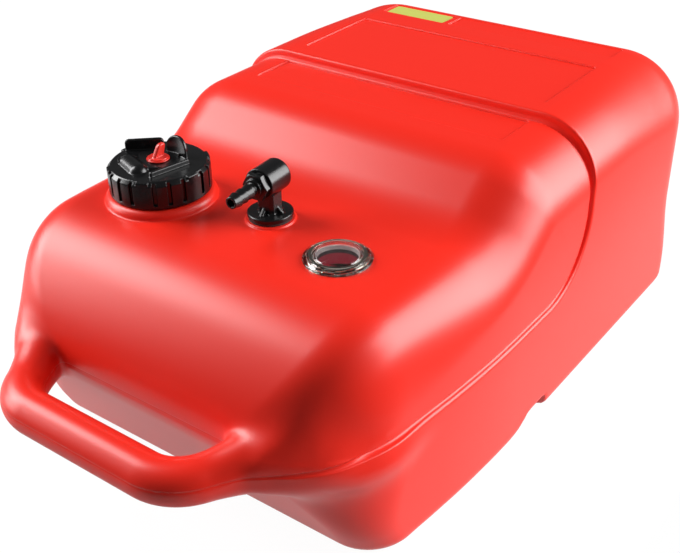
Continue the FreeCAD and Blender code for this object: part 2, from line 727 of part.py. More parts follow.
def along_barrel(start, length, radius, end_radius=None):
    """Round bar or cone on the barrel's axis; start is measured out of the barrel's front face."""
    foot = BARREL_FACE + AIM * start
    if end_radius is None:
        return Part.makeCylinder(radius, length, foot, AIM)
    return Part.makeCone(radius, end_radius, length, foot, AIM)


def barrel():
    """Round barrel, bevelled at its rear end."""
    length = BARREL_FRONT + BARREL_REAR
    plain = length - BARREL_CHAMFER
    bevel_end = BARREL_R - BARREL_CHAMFER
    bevel = along_barrel(-length, BARREL_CHAMFER, bevel_end, BARREL_R)
    return along_barrel(-plain, plain, BARREL_R).fuse(bevel)


def stem_ribs():
    """Two small triangular ribs at the stem's foot."""
    start = OUTLET_X + STEM_SIZE / 2 - STEM_CHAMFER
    reach = STEM_CHAMFER + STEM_RIB_REACH
    y = OUTLET_Y - STEM_RIB_T / 2
    foot = OUTLET_STEM_Z - OUTLET_FLANGE_T / 2
    corners = [
        Vector(start, y, foot),
        Vector(start + reach, y, foot),
        Vector(start + reach, y, OUTLET_STEM_Z),
        Vector(start, y, OUTLET_STEM_Z + STEM_RIB_HEIGHT),
    ]
    rib = Part.Face(Part.makePolygon(corners + corners[:1])).extrude(Vector(0, STEM_RIB_T, 0))
    axis = Vector(OUTLET_X, OUTLET_Y, 0)
    return [turned(rib, BARREL_TURN, axis), turned(rib, BARREL_TURN - FULL_TURN / 4, axis)]


def outlet_base():
    """Flange and square stem, the stem's foot blended into the flange."""
    half = STEM_SIZE / 2
    stem_z = (OUTLET_FLANGE_Z, BARREL_AXIS_Z)
    stem = block((OUTLET_X - half, OUTLET_X + half), (OUTLET_Y - half, OUTLET_Y + half), stem_z)
    stem = stem.makeChamfer(STEM_CHAMFER, [edge for edge in stem.Edges if upright_edges(edge)])
    stem = turned(stem, BARREL_TURN, Vector(OUTLET_X, OUTLET_Y, 0))
    flange = disc(OUTLET_X, OUTLET_Y, OUTLET_FLANGE_Z, OUTLET_FLANGE_R, OUTLET_FLANGE_T)
    base = flange.fuse(stem)

    def stem_foot(edge):
        box = edge.BoundBox
        level = max(abs(box.ZMin - OUTLET_STEM_Z), abs(box.ZMax - OUTLET_STEM_Z)) < TOUCH
        return level and box.DiagonalLength < STEM_SIZE

    return fillet_where(base, STEM_FOOT_R, stem_foot)


def outlet_body():
    """Elbow: spigot, flange, square stem and the barrel that takes the barb."""
    spigot_length = OUTLET_FLANGE_Z - SPIGOT_FOOT_Z
    outside = fused([
        disc(OUTLET_X, OUTLET_Y, SPIGOT_FOOT_Z, SPIGOT_R, spigot_length),
        outlet_base(),
        barrel(),
        *stem_ribs(),
    ])
    ball_bore = SPRING_TOP_Z - SPIGOT_FOOT_Z
    ring_seat = 2 * BARB_RING_TUBE_R
    return less(outside, [
        disc(OUTLET_X, OUTLET_Y, SPIGOT_FOOT_Z, SEAT_PLUG_R, SEAT_PLUG_LENGTH),
        disc(OUTLET_X, OUTLET_Y, SPIGOT_FOOT_Z, BALL_BORE_R, ball_bore),
        disc(OUTLET_X, OUTLET_Y, SPIGOT_FOOT_Z, STEM_BORE_R, BARREL_AXIS_Z - SPIGOT_FOOT_Z),
        along_barrel(-SOCKET_DEPTH, SOCKET_DEPTH, SOCKET_R),
        along_barrel(-BARREL_FRONT - BARREL_BORE_R, BARREL_FRONT + BARREL_BORE_R, BARREL_BORE_R),
        along_barrel(-ring_seat, ring_seat, SOCKET_R + ring_seat + SLEEVE_GAP),
    ])


def outlet_gasket():
    """Flat washer between the boss and the elbow's flange."""
    inner = SPIGOT_R + SPIGOT_GAP
    return tube(OUTLET_X, OUTLET_Y, BOSS_TOP_Z, OUTLET_GASKET_R, inner, OUTLET_GASKET_T)


# ---------------------------------------------------------------- check valve
def valve_seat():
    """Plug in the spigot's foot: its bore's rim seats the ball and its nipple takes the tube."""
    nipple_z = SPIGOT_FOOT_Z - NIPPLE_LENGTH
    plug = disc(OUTLET_X, OUTLET_Y, SPIGOT_FOOT_Z, SEAT_PLUG_R, SEAT_PLUG_LENGTH)
    nipple = disc(OUTLET_X, OUTLET_Y, nipple_z, NIPPLE_R, NIPPLE_LENGTH)
    bore = disc(OUTLET_X, OUTLET_Y, nipple_z, SEAT_BORE_R, NIPPLE_LENGTH + SEAT_PLUG_LENGTH)
    return plug.fuse(nipple).cut(bore)


def ball_centre():
    """Centre of the ball, resting on the rim of the seat's bore."""
    rise = math.sqrt(BALL_R ** 2 - SEAT_BORE_R ** 2)
    return Vector(OUTLET_X, OUTLET_Y, SEAT_TOP_Z + rise + SEAT_GAP)


def check_ball():
    """Ball that lifts when fuel is drawn."""
    return Part.makeSphere(BALL_R, ball_centre())


def check_spring():
    """Coil between the ball and the top of its bore."""
    contact = BALL_R + SPRING_WIRE_R + SEAT_GAP
    foot = ball_centre() + UP * math.sqrt(contact ** 2 - SPRING_R ** 2)
    length = SPRING_TOP_Z - SPRING_WIRE_R - SEAT_GAP - foot.z
    path = Part.makeHelix(length / SPRING_TURNS, length, SPRING_R)
    corners = []
    for index in range(SPRING_WIRE_SIDES):
        angle = 2 * math.pi * (index + 0.5) / SPRING_WIRE_SIDES
        corners.append(Vector(SPRING_R + SPRING_WIRE_R * math.cos(angle), 0, SPRING_WIRE_R * math.sin(angle)))
    coil = path.makePipeShell([Part.makePolygon(corners + corners[:1])], True, True)
    coil.translate(foot)
    return coil


# ---------------------------------------------------------------- hose barb
def barb_hexagon():
    """Hexagon against the barrel's front face, two of its corners level."""
    across = AIM.cross(UP)
    corner_r = BARB_HEX_FLATS / 2 / math.cos(math.pi / 6)
    angles = [math.pi / 3 * index for index in range(7)]
    corners = [
        BARREL_FACE + (across * math.cos(angle) + UP * math.sin(angle)) * corner_r for angle in angles
    ]
    return Part.Face(Part.makePolygon(corners)).extrude(AIM * BARB_HEX_T)


def hose_barb():
    """Sleeve in the barrel's socket, hexagon, shoulder and ridged stem."""
    shoulder = BARB_HEX_T + BARB_SHOULDER_T
    shapes = [
        along_barrel(-SLEEVE_LENGTH, SLEEVE_LENGTH, SOCKET_R - SLEEVE_GAP),
        barb_hexagon(),
        along_barrel(BARB_HEX_T, BARB_SHOULDER_T, BARB_SHOULDER_R),
        along_barrel(shoulder, BARB_LENGTH, BARB_ROOT_R, BARB_TIP_R),
    ]
    first_ridge = shoulder + BARB_LENGTH - BARB_RIDGES * BARB_RIDGE_PITCH
    for index in range(BARB_RIDGES):
        start = first_ridge + index * BARB_RIDGE_PITCH
        shapes.append(along_barrel(start, BARB_RIDGE_PITCH, BARB_RIDGE_R, BARB_TIP_R))
    length = SLEEVE_LENGTH + shoulder + BARB_LENGTH
    return fused(shapes).cut(along_barrel(-SLEEVE_LENGTH, length, BARB_BORE_R))


def barb_o_ring():
    """Seal round the sleeve, in the barrel's mouth."""
    centre = BARREL_FACE - AIM * BARB_RING_TUBE_R
    return seal_ring(centre, AIM, SOCKET_R + BARB_RING_TUBE_R, BARB_RING_TUBE_R)


# ---------------------------------------------------------------- pick-up
PICKUP_BORE_R = NIPPLE_R + PICKUP_FIT
PICKUP_R = PICKUP_BORE_R + PICKUP_WALL


def pickup_tube():
    """Dip tube from the seat's nipple down to the strainer."""
    foot = WALL + PICKUP_FLOOR_GAP
    return tube(OUTLET_X, OUTLET_Y, foot, PICKUP_R, PICKUP_BORE_R, SPIGOT_FOOT_Z - foot)


def pickup_strainer():
    """Slotted cup on the tube's foot, just off the floor."""
    foot = WALL + STRAINER_FLOOR_GAP
    inner_r = STRAINER_R - STRAINER_WALL
    cup = disc(OUTLET_X, OUTLET_Y, foot, STRAINER_R, STRAINER_HEIGHT)
    cavity = STRAINER_HEIGHT - 2 * STRAINER_WALL
    slot_z = (foot + STRAINER_BAND, foot + STRAINER_HEIGHT - STRAINER_BAND)
    half = STRAINER_SLOT_WIDTH / 2
    slot = block((OUTLET_X, OUTLET_X + FAR), (OUTLET_Y - half, OUTLET_Y + half), slot_z)
    centre = Vector(OUTLET_X, OUTLET_Y, 0)
    angles = [FULL_TURN * index / STRAINER_SLOTS for index in range(STRAINER_SLOTS)]
    return less(cup, [
        disc(OUTLET_X, OUTLET_Y, foot + STRAINER_WALL, inner_r, cavity),
        disc(OUTLET_X, OUTLET_Y, foot + STRAINER_WALL, PICKUP_R + PICKUP_FIT, STRAINER_HEIGHT),
    ] + [turned(slot, angle, centre) for angle in angles])


# ---------------------------------------------------------------- level gauge
GAUGE_CENTRE = Vector(GAUGE_X, GAUGE_Y, 0)
GAUGE_STACK_R = GAUGE_RING_R - GAUGE_RING_WALL - SEAT_GAP
GAUGE_FLANGE_Z = DECK_Z + GAUGE_GASKET_T
LENS_Z = GAUGE_FLANGE_Z + GAUGE_FLANGE_T
LENS_FLANGE_TOP_Z = LENS_Z + LENS_FLANGE_T
FRAME_TUBE_R = GAUGE_HOLE_R - FRAME_FIT
FRAME_FOOT_Z = DECK_Z - FRAME_TUBE_LENGTH
PIVOT = GAUGE_CENTRE + UP * (DECK_Z - PIVOT_DROP)
DRUM_HALF_LENGTH = CHEEK_INNER_X - DRUM_SIDE_GAP


def across_pivot(radius, half_length):
    """Round bar along the pivot's axis, centred on it."""
    return Part.makeCylinder(radius, 2 * half_length, PIVOT - ACROSS * half_length, ACROSS)


def gauge_gasket():
    """Flat ring between the deck and the gauge's frame."""
    return tube(GAUGE_X, GAUGE_Y, DECK_Z, GAUGE_STACK_R, GAUGE_HOLE_R, GAUGE_GASKET_T)


def gauge_frame():
    """Flanged tube in the deck's hole, with two cheeks that hold the pivot."""
    plug = disc(GAUGE_X, GAUGE_Y, 0, FRAME_TUBE_R, DECK_Z)
    half = CHEEK_WIDTH / 2
    foot = PIVOT.z - half
    head = FRAME_FOOT_Z + CHEEK_OVERLAP
    y_range = (GAUGE_Y - half, GAUGE_Y + half)
    right = block((GAUGE_X + CHEEK_INNER_X, FAR), y_range, (foot, head))
    left = block((-FAR, GAUGE_X - CHEEK_INNER_X), y_range, (foot, head))
    flange_top = LENS_Z - FRAME_FOOT_Z
    frame = fused([
        tube(GAUGE_X, GAUGE_Y, FRAME_FOOT_Z, FRAME_TUBE_R, FRAME_TUBE_R - FRAME_WALL, flange_top),
        tube(GAUGE_X, GAUGE_Y, GAUGE_FLANGE_Z, GAUGE_STACK_R, FRAME_TUBE_R - FRAME_WALL, GAUGE_FLANGE_T),
        plug.common(right),
        plug.common(left),
    ])
    return frame.cut(across_pivot(PIVOT_R + PIVOT_GAP, FAR))


def gauge_pivot_pin():
    """Pin through both cheeks and the drum."""
    return across_pivot(PIVOT_R, FRAME_TUBE_R - PIVOT_END_GAP)


def arm_rod(radius, start, length):
    """Rod on the float arm's axis, from a distance out of the pivot."""
    angle = math.radians(EMPTY_ANGLE)
    direction = Vector(0, math.cos(angle), -math.sin(angle))
    return Part.makeCylinder(radius, length, PIVOT + direction * start, direction)


def level_drum():
    """Drum seen through the lens; the float's arm turns it."""
    return less(across_pivot(DRUM_R, DRUM_HALF_LENGTH), [
        across_pivot(PIVOT_R + PIVOT_GAP, FAR),
        arm_rod(ARM_WIRE_R + PIVOT_GAP, ARM_START, ARM_LENGTH),
    ])


def float_arm():
    """Wire from the drum to the middle of the float."""
    return arm_rod(ARM_WIRE_R, ARM_START, ARM_LENGTH - ARM_START)


def float_body():
    """Cylindrical float across the arm's end, its rims bevelled."""
    angle = math.radians(EMPTY_ANGLE)
    centre = PIVOT + Vector(0, math.cos(angle), -math.sin(angle)) * ARM_LENGTH
    start = centre - ACROSS * (FLOAT_LENGTH / 2)
    bar = Part.makeCylinder(FLOAT_R, FLOAT_LENGTH, start, ACROSS)
    bar = bar.makeChamfer(FLOAT_BEVEL, [edge for edge in bar.Edges if edge.BoundBox.XLength < TOUCH])
    return bar.cut(arm_rod(ARM_WIRE_R + PIVOT_GAP, ARM_START, ARM_LENGTH - ARM_START))


def gauge_lens():
    """Clear dome on a thin flange."""
    skirt_top = LENS_FLANGE_TOP_Z + LENS_SKIRT
    ball_r = (LENS_R ** 2 + LENS_RISE ** 2) / (2 * LENS_RISE)
    centre = GAUGE_CENTRE + UP * (skirt_top + LENS_RISE - ball_r)
    height = skirt_top + LENS_RISE - LENS_Z
    outer = disc(GAUGE_X, GAUGE_Y, LENS_Z, LENS_R, height).common(Part.makeSphere(ball_r, centre))
    inner_r = LENS_R - LENS_WALL
    inner_ball = Part.makeSphere(ball_r - LENS_WALL, centre)
    inner = disc(GAUGE_X, GAUGE_Y, LENS_Z, inner_r, height).common(inner_ball)
    return outer.fuse(disc(GAUGE_X, GAUGE_Y, LENS_Z, GAUGE_STACK_R, LENS_FLANGE_T)).cut(inner)


def gauge_ring():
    """Castellated ring that clamps the lens on the deck."""
    ring = disc(GAUGE_X, GAUGE_Y, DECK_Z, GAUGE_RING_R, GAUGE_RING_HEIGHT)
    inner_r = GAUGE_RING_R - GAUGE_RING_WALL
    seat = LENS_FLANGE_TOP_Z + SEAT_GAP - DECK_Z
    notch_z = DECK_Z + GAUGE_RING_HEIGHT - GAUGE_NOTCH_DEPTH
    notch = Part.makeCylinder(
        GAUGE_RING_R, GAUGE_NOTCH_DEPTH, GAUGE_CENTRE + UP * notch_z, UP, GAUGE_NOTCH_ANGLE
    )
    notch = notch.cut(disc(GAUGE_X, GAUGE_Y, notch_z, inner_r, GAUGE_NOTCH_DEPTH))
    cuts = [
        disc(GAUGE_X, GAUGE_Y, DECK_Z, inner_r, seat),
        disc(GAUGE_X, GAUGE_Y, DECK_Z, GAUGE_LIP_R, GAUGE_RING_HEIGHT),
    ]
    for index in range(GAUGE_NOTCHES):
        azimuth = GAUGE_NOTCH_AZIMUTH + FULL_TURN * index / GAUGE_NOTCHES
        cuts.append(turned(notch, azimuth - GAUGE_NOTCH_ANGLE / 2, GAUGE_CENTRE))
    return less(ring, cuts)


# ---------------------------------------------------------------- label
def rear_label():
    """Bare label in the left rear cell."""
    left, right = label_cell()
    front, rear = REAR_PANEL_Y
    x_range = (left + LABEL_MARGIN, right - LABEL_MARGIN)
    y_range = (front + LABEL_MARGIN, rear - LABEL_MARGIN)
    plate = block(x_range, y_range, (rear_cell_z(), rear_cell_z() + LABEL_T))
    return fillet_where(plate, LABEL_R, upright_edges)


# ---------------------------------------------------------------- export
SUB_PARTS = [
    tank_shell, filler_cap, cap_gasket, vent_screw, vent_o_ring, vent_retainer,
    outlet_body, outlet_gasket, valve_seat, check_ball, check_spring, hose_barb, barb_o_ring,
    pickup_tube, pickup_strainer,
    gauge_gasket, gauge_frame, gauge_pivot_pin, level_drum, float_arm, float_body,
    gauge_lens, gauge_ring, rear_label,
]


def build():
    """Write each sub-part, moved to the tank's frame."""
    os.makedirs("parts", exist_ok=True)
    for sub_part in SUB_PARTS:
        shape = sub_part()
        shape.translate(FRAME_SHIFT)
        shape.exportStep("parts/" + sub_part.__name__ + ".step")


build()
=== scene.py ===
import math

import bmesh
import bpy
import numpy as np
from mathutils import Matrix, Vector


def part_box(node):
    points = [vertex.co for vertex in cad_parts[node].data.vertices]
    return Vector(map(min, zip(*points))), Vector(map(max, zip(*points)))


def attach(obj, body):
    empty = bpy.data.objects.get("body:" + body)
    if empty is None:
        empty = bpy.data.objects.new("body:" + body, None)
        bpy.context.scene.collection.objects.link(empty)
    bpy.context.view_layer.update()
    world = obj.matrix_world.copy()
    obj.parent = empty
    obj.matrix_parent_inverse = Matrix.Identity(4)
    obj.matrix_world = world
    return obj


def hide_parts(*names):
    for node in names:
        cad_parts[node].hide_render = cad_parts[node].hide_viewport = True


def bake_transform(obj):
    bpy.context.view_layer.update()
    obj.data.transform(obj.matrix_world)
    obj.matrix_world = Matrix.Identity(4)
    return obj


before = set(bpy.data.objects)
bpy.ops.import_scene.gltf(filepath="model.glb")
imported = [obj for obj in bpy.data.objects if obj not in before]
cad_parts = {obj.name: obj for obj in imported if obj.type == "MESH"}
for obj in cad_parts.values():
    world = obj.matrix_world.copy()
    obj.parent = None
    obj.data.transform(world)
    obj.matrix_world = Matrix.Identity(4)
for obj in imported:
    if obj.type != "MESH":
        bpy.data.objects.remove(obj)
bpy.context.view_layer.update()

import openvdb
from mathutils import Euler, Matrix, Vector

# Sizes are in metres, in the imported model's frame: X across the tank, Y from the handle to the rear, Z up.
# The tank's own lengths are drawn from its front wall, which lies at FRONT_Y in that frame.
MM = 0.001

# ---------------------------------------------------------------- tank body
BODY_LENGTH = 489.0 * MM
HANDLE_REACH = 57.6 * MM
FRONT_Y = -(BODY_LENGTH - HANDLE_REACH) / 2
REAR_HALF_WIDTH = 157.2 * MM
FRONT_TAPER = 15.1 * MM
TAPER_END_Y = 150.0 * MM
TAPER_BLEND_R = 900.0 * MM
DECK_Z = 167.7 * MM
TOP_Z = 202.2 * MM
REAR_TOP_Z = 200.0 * MM
REAR_FALL_Y = 400.0 * MM
STEP = 6.0 * MM                # of the ledge, on the top
SIDE_STEP = 1.4 * MM           # and on the sides
PARTING_Z = 92.4 * MM
FRONT_TOP_Y = 13.1 * MM
FRONT_FOOT_Y = 47.1 * MM
SLOPE_START_Y = 171.2 * MM
SLOPE_END_Y = 217.1 * MM
FRONT_TOP_R = 71.8 * MM
PARTING_R = 46.0 * MM
SLOPE_FOOT_R = 60.0 * MM
SLOPE_HEAD_R = 47.4 * MM
REAR_TOP_R = 58.2 * MM
FALL_R = 60.0 * MM
EDGE_R = 45.2 * MM             # of the long edges, between the front's and the rear's own
DECK_EDGE_R = 34.7 * MM        # at the front they are tighter beside the deck
CORNER_EDGE_R = 65.7 * MM      # wider round the upright corners
FOOT_EDGE_R = 27.1 * MM        # and tight again at the foot
REAR_EDGE_R = 53.6 * MM        # at the rear, round the upright corners
REAR_FOOT_EDGE_R = 38.5 * MM   # and at their foot
FRONT_EDGE_Y = (60.0 * MM, 200.0 * MM)     # the front's own radii fade out along this
REAR_EDGE_Y = (330.0 * MM, 440.0 * MM)     # and the rear's fade in
FOOT_EDGE_Z = 20.0 * MM        # the foot's hold up to here and fade out at the parting line
FLOOR_R = 12.0 * MM
WALL = 6.0 * MM                # thicker than the real one, which no view shows
REACH = 0.9                    # past every face of the tank

LEDGE_Z = 91.2 * MM
LEDGE_Y = 289.4 * MM
LEDGE_CORNER_R = 55.0 * MM
LEDGE_BLEND = 3.5 * MM         # rounding of the ledge's proud edge
LEDGE_FOOT_BLEND = 2.5 * MM
GROOVE_R = 1.9 * MM            # round groove along the ledge's foot
GROOVE_BACK = 2.4 * MM         # its axis, from the ledge's edge
GROOVE_FADE = 1.35 * MM        # it fades where the ledge is lower than this
GROOVE_EDGE = 1.0 * MM         # smoothing of its edges; on the handle, where its radius is 0, a parting line

CHANNEL_START_Y = 184.0 * MM
CHANNEL_END_Y = 246.0 * MM
CHANNEL_DEPTH = 16.0 * MM
CHANNEL_RAMP = 34.0 * MM
CHANNEL_WALL_RUN = 5.0 * MM
CHANNEL_R = 6.0 * MM
CHANNEL_EDGE = 3.0 * MM

PANEL_DEPTH = 1.2 * MM
PANEL_HALF_WIDTH = 106.0 * MM
PANEL_R = 1.5 * MM
PANEL_EDGE = 1.0 * MM
FRONT_PANEL_Y = (246.0 * MM, 284.0 * MM)
MAIN_PANEL_Y = (307.0 * MM, 389.5 * MM)
REAR_PANEL_Y = (416.0 * MM, 440.0 * MM)
REAR_DIVIDER_X = -43.0 * MM
REAR_DIVIDER_WIDTH = 5.0 * MM

# ---------------------------------------------------------------- handle
GRIP_R = 14.0 * MM
GRIP_REACH = 54.7 * MM
GRIP_Z = 89.7 * MM
GRIP_HALF_LENGTH = 46.4 * MM
GRIP_BEND_R = 32.4 * MM
ARM_HEADING = math.radians(60)
ARM_LENGTH = 70.0 * MM
ARM_GROWTH = 35.0 * MM
ARM_ROOT_RISE = 6.2 * MM       # taller at its root than the grip, above
ARM_ROOT_DROP = 2.6 * MM       # and below
ARM_ROOT_HALF_WIDTH = 14.8 * MM
ARM_END_SHARE = 0.9            # rounding of the arm's hidden end, of its half width
INNER_BLEND = 9.0 * MM         # hollow where an arm's inner side meets the wall
OUTER_BLEND = 44.0 * MM        # in plan, where its outer side meets the corner
OUTER_X = (70.0 * MM, 105.0 * MM)          # the first gives way to the second along this
ROOT_BLEND = 11.0 * MM         # where it meets the wall above and below
CORNER_BLEND = 40.0 * MM       # and the same on the corner
CORNER_X = (80.0 * MM, 120.0 * MM)         # which it reaches along this
CORNER_Y = (15.0 * MM, 100.0 * MM)         # and leaves again along the side
RIM_INSET = 0.8 * MM           # the rim's edge inside the body's widest outline
RIM_RETREAT = 30.0 * MM        # and between the arms
RIM_TOP_Z = 87.0 * MM
RIM_START_Y = 60.0 * MM        # from here to its end it sinks into the side
RIM_END_Y = 200.0 * MM
RIM_FADE = 30.0 * MM

# ---------------------------------------------------------------- fittings' places
FILLER = Vector((-73.7 * MM, FRONT_Y + 106.7 * MM, DECK_Z))
NECK_R = 28.6 * MM
NECK_BORE_R = 24.5 * MM
NECK_HEIGHT = 19.4 * MM
COLLAR_R = 37.4 * MM
COLLAR_TUBE_R = 4.6 * MM
COLLAR_RISE = 1.4 * MM
COLLAR_BLEND = 3.0 * MM
OUTLET = Vector((7.3 * MM, FRONT_Y + 123.2 * MM, DECK_Z))
BOSS_R = 16.4 * MM
BOSS_HEIGHT = 1.4 * MM
BOSS_EDGE_R = 0.8 * MM
BOSS_BLEND = 2.0 * MM
SPIGOT_HOLE_R = 7.0 * MM
GAUGE = Vector((73.7 * MM, FRONT_Y + 106.3 * MM, DECK_Z))
GAUGE_HOLE_R = 14.6 * MM
HOLE_EDGE = 1.0 * MM
HOLE_DEPTH = 3 * WALL          # past the deck's wall

# ---------------------------------------------------------------- fittings' sizes
# Heights are above the deck, and offsets in plan are from the fitting's centre. A name in _EDGE is the
# width that smooths a cut edge, one in _BLEND the width of the hollow where two forms meet.
CAP_R = 34.1 * MM
CAP_FOOT = 6.7 * MM
CAP_ROOF = 21.6 * MM
CAP_TOP_WALL = 4.0 * MM
CAP_TOP = CAP_ROOF + CAP_TOP_WALL
CAP_CAVITY_R = 30.2 * MM
CAP_CHAMFER = 2.6 * MM
CAP_EDGE_R = 0.9 * MM
CAP_EDGE = 0.5 * MM
CAP_GROUPS = 6
CAP_GROUP_AZIMUTH = math.radians(-34.4)
CAP_GROUP_ANGLE = math.radians(46)
CAP_SLOT_PITCH = math.radians(16.5)
CAP_SLOT_WIDTH = 2.6 * MM
CAP_SLOT_DEPTH = 1.9 * MM
CAP_SLOT_FOOT = 2.6 * MM
CAP_SLOT_EDGE = 0.4 * MM
PLINTH_HALF = 13.5 * MM
PLINTH_AZIMUTH = math.radians(41)
PLINTH_HEIGHT = 1.4 * MM
PLINTH_R = 3.0 * MM
PLINTH_EDGE_R = 0.6 * MM
PLINTH_BLEND = 0.8 * MM
FIN_T = 2.6 * MM
FIN_EDGE_R = 0.9 * MM
FIN_BLEND = 1.0 * MM
# each plate's two ends, height, corner radius and bow
PLATE_FIN = ((-31.0 * MM, 0), (-11.4 * MM, 17.5 * MM), 7.6 * MM, 3.0 * MM)
EAR_FIN = ((-4.7 * MM, 13.7 * MM), (13.5 * MM, 13.3 * MM), 13.6 * MM, 8.6 * MM, 1.6 * MM)
RIDGE = ((13.0 * MM, -21.0 * MM), (19.0 * MM, 9.0 * MM), 3.4 * MM, 1.4 * MM)
LUMP_START = (-15.5 * MM, -12.5 * MM)
LUMP_END = (-0.5 * MM, -18.0 * MM)
LUMP_R = 7.0 * MM
LUMP_HEIGHT = 4.6 * MM
LUMP_BLEND = 1.5 * MM
LUMP_LIP_SHARE = 0.86          # the lip's place, of the lump's radius
LUMP_LIP_BLEND = 0.6 * MM
LUMP_LIP_R = 0.8 * MM
LUMP_LIP_RISE = 1.6 * MM

VENT_STEM_R = 3.0 * MM
VENT_STEM_LENGTH = 12.1 * MM
VENT_FLANGE = CAP_TOP + PLINTH_HEIGHT + 0.15 * MM
VENT_FLANGE_R = 7.7 * MM
VENT_FLANGE_T = 1.8 * MM
VENT_STEP_R = 6.6 * MM
VENT_STEP = 1.0 * MM
VENT_EDGE_R = 0.4 * MM
VENT_PADDLE_WIDTH = 8.8 * MM
VENT_PADDLE_TOP_WIDTH = 6.2 * MM
VENT_PADDLE_HEIGHT = 8.8 * MM
VENT_PADDLE_SWEEP = 3.0 * MM   # its top's offset towards the rear
VENT_PADDLE_T = 3.4 * MM
VENT_PADDLE_R = 2.4 * MM
VENT_PADDLE_EDGE_R = 1.2 * MM
VENT_PADDLE_BLEND = 1.2 * MM
VENT_PADDLE_LIMIT = 1.2        # its taper ends at this share of its height
VENT_LEAN = math.radians(8)    # towards the gauge

OUTLET_FLANGE = 3.0 * MM
OUTLET_FLANGE_R = 15.1 * MM
OUTLET_FLANGE_T = 3.2 * MM
OUTLET_FLANGE_EDGE_R = 0.9 * MM
STEM_SIZE = 12.8 * MM
STEM_CHAMFER = 2.0 * MM
STEM_EDGE = 0.5 * MM
STEM_BLEND = 2.0 * MM
STEM_RIB_T = 2.6 * MM
STEM_RIB_REACH = 4.6 * MM
STEM_RIB_HEIGHT = 4.2 * MM
STEM_RIB_EDGE_R = 0.8 * MM
STEM_RIB_BLEND = 0.8 * MM
BARREL_R = 10.5 * MM
BARREL_AXIS = 28.3 * MM
BARREL_FRONT = 10.2 * MM
BARREL_REAR = 11.5 * MM
BARREL_TURN = math.radians(4)
BARREL_CHAMFER = 1.6 * MM
BARREL_EDGE_R = 0.5 * MM
BARREL_EDGE = 0.8 * MM
BARREL_BLEND = 1.0 * MM
BORE_EDGE = 0.3 * MM
SOCKET_R = 6.6 * MM
SOCKET_DEPTH = 9.5 * MM
BARB_RING_R = 8.5 * MM
BARB_RING_T = 1.8 * MM
SPIGOT_R = 6.9 * MM
SPIGOT_LENGTH = 12.0 * MM
FUEL_WAY_R = 3.0 * MM
SLEEVE_LENGTH = 8.0 * MM
BARB_HEX_FLATS = 16.5 * MM
BARB_HEX_T = 5.0 * MM
BARB_SHOULDER_R = 6.2 * MM
BARB_SHOULDER_T = 2.0 * MM
BARB_ROOT_R = 4.0 * MM
BARB_RIDGE_R = 5.0 * MM
BARB_RIDGES = 3
BARB_RIDGE_PITCH = 6.0 * MM
BARB_TIP_R = 3.7 * MM
BARB_LENGTH = 21.8 * MM
BARB_BORE_R = 2.6 * MM
BARB_EDGE = 0.3 * MM           # of the hexagon and the ridges
BARB_SHOULDER_EDGE_R = 0.6 * MM
BARB_SHOULDER_BLEND = 0.5 * MM
BARB_STEM_BLEND = 1.5 * MM
BARB_TIP_EDGE = 0.5 * MM

GAUGE_RING_R = 21.7 * MM
GAUGE_SEAT_R = 18.7 * MM
GAUGE_SEAT_HEIGHT = 2.8 * MM
GAUGE_RING_HEIGHT = 3.9 * MM
GAUGE_LIP_R = 15.6 * MM
GAUGE_BEVEL_RUN = 4.0 * MM
GAUGE_BEVEL_RISE = 2.4 * MM
GAUGE_RING_EDGE_R = 0.7 * MM
GAUGE_RING_EDGE = 0.5 * MM
GAUGE_SEAT_EDGE = 0.3 * MM
GAUGE_NOTCHES = 6
GAUGE_NOTCH_AZIMUTH = math.radians(50)
GAUGE_NOTCH_ANGLE = math.radians(21)
GAUGE_NOTCH_DEPTH = 2.2 * MM
GAUGE_NOTCH_EDGE = 0.4 * MM
LENS_FOOT = 1.8 * MM
LENS_FLANGE_R = 18.6 * MM
LENS_FLANGE_T = 0.9 * MM
LENS_R = 15.3 * MM
LENS_SKIRT = 0.8 * MM
LENS_RISE = 3.2 * MM
LENS_WALL = 1.4 * MM
LENS_EDGE_R = 0.8 * MM
LENS_FLANGE_EDGE_R = 0.2 * MM


# ---------------------------------------------------------------- distance functions
def rounded_outline(corners):
    """Arcs and lines round (a, b, radius) corners, for outline_distance."""
    points = [np.array(corner[:2]) for corner in corners]
    count = len(points)
    arcs = []
    for index in range(count):
        before, corner, after = points[index - 1], points[index], points[(index + 1) % count]
        back = (before - corner) / np.linalg.norm(before - corner)
        ahead = (after - corner) / np.linalg.norm(after - corner)
        half = math.acos(float(back @ ahead)) / 2
        radius = corners[index][2]
        reach = radius / math.tan(half)
        bisector = (back + ahead) / np.linalg.norm(back + ahead)
        centre = corner + bisector * radius / math.sin(half)
        turn = math.copysign(1, ahead[1] * -back[0] + ahead[0] * back[1])
        arcs.append((centre, radius, turn, corner + back * reach, corner + ahead * reach))
    lines = [(arcs[index][4], arcs[(index + 1) % count][3]) for index in range(count)]
    return arcs, lines


def outline_distance(outline, a, b):
    """Signed distance from an anticlockwise outline, negative inside."""
    arcs, lines = outline
    best = np.full(np.broadcast(a, b).shape, REACH)
    for start, end in lines:
        length = np.hypot(*(end - start))
        along = (end - start) / length
        run = (a - start[0]) * along[0] + (b - start[1]) * along[1]
        side = (a - start[0]) * along[1] - (b - start[1]) * along[0]
        side = np.where((run >= 0) & (run <= length), side, REACH)
        best = np.where(np.abs(side) < np.abs(best), side, best)
    for centre, radius, turn, start, end in arcs:
        if radius == 0:
            continue
        middle = (start + end) / 2 - centre
        middle = middle / np.linalg.norm(middle)
        spread = float((start - centre) @ middle) / radius
        off_a, off_b = a - centre[0], b - centre[1]
        away = np.hypot(off_a, off_b)
        within = off_a * middle[0] + off_b * middle[1] >= spread * away
        side = np.where(within, (away - radius) * turn, REACH)
        best = np.where(np.abs(side) < np.abs(best), side, best)
    return best


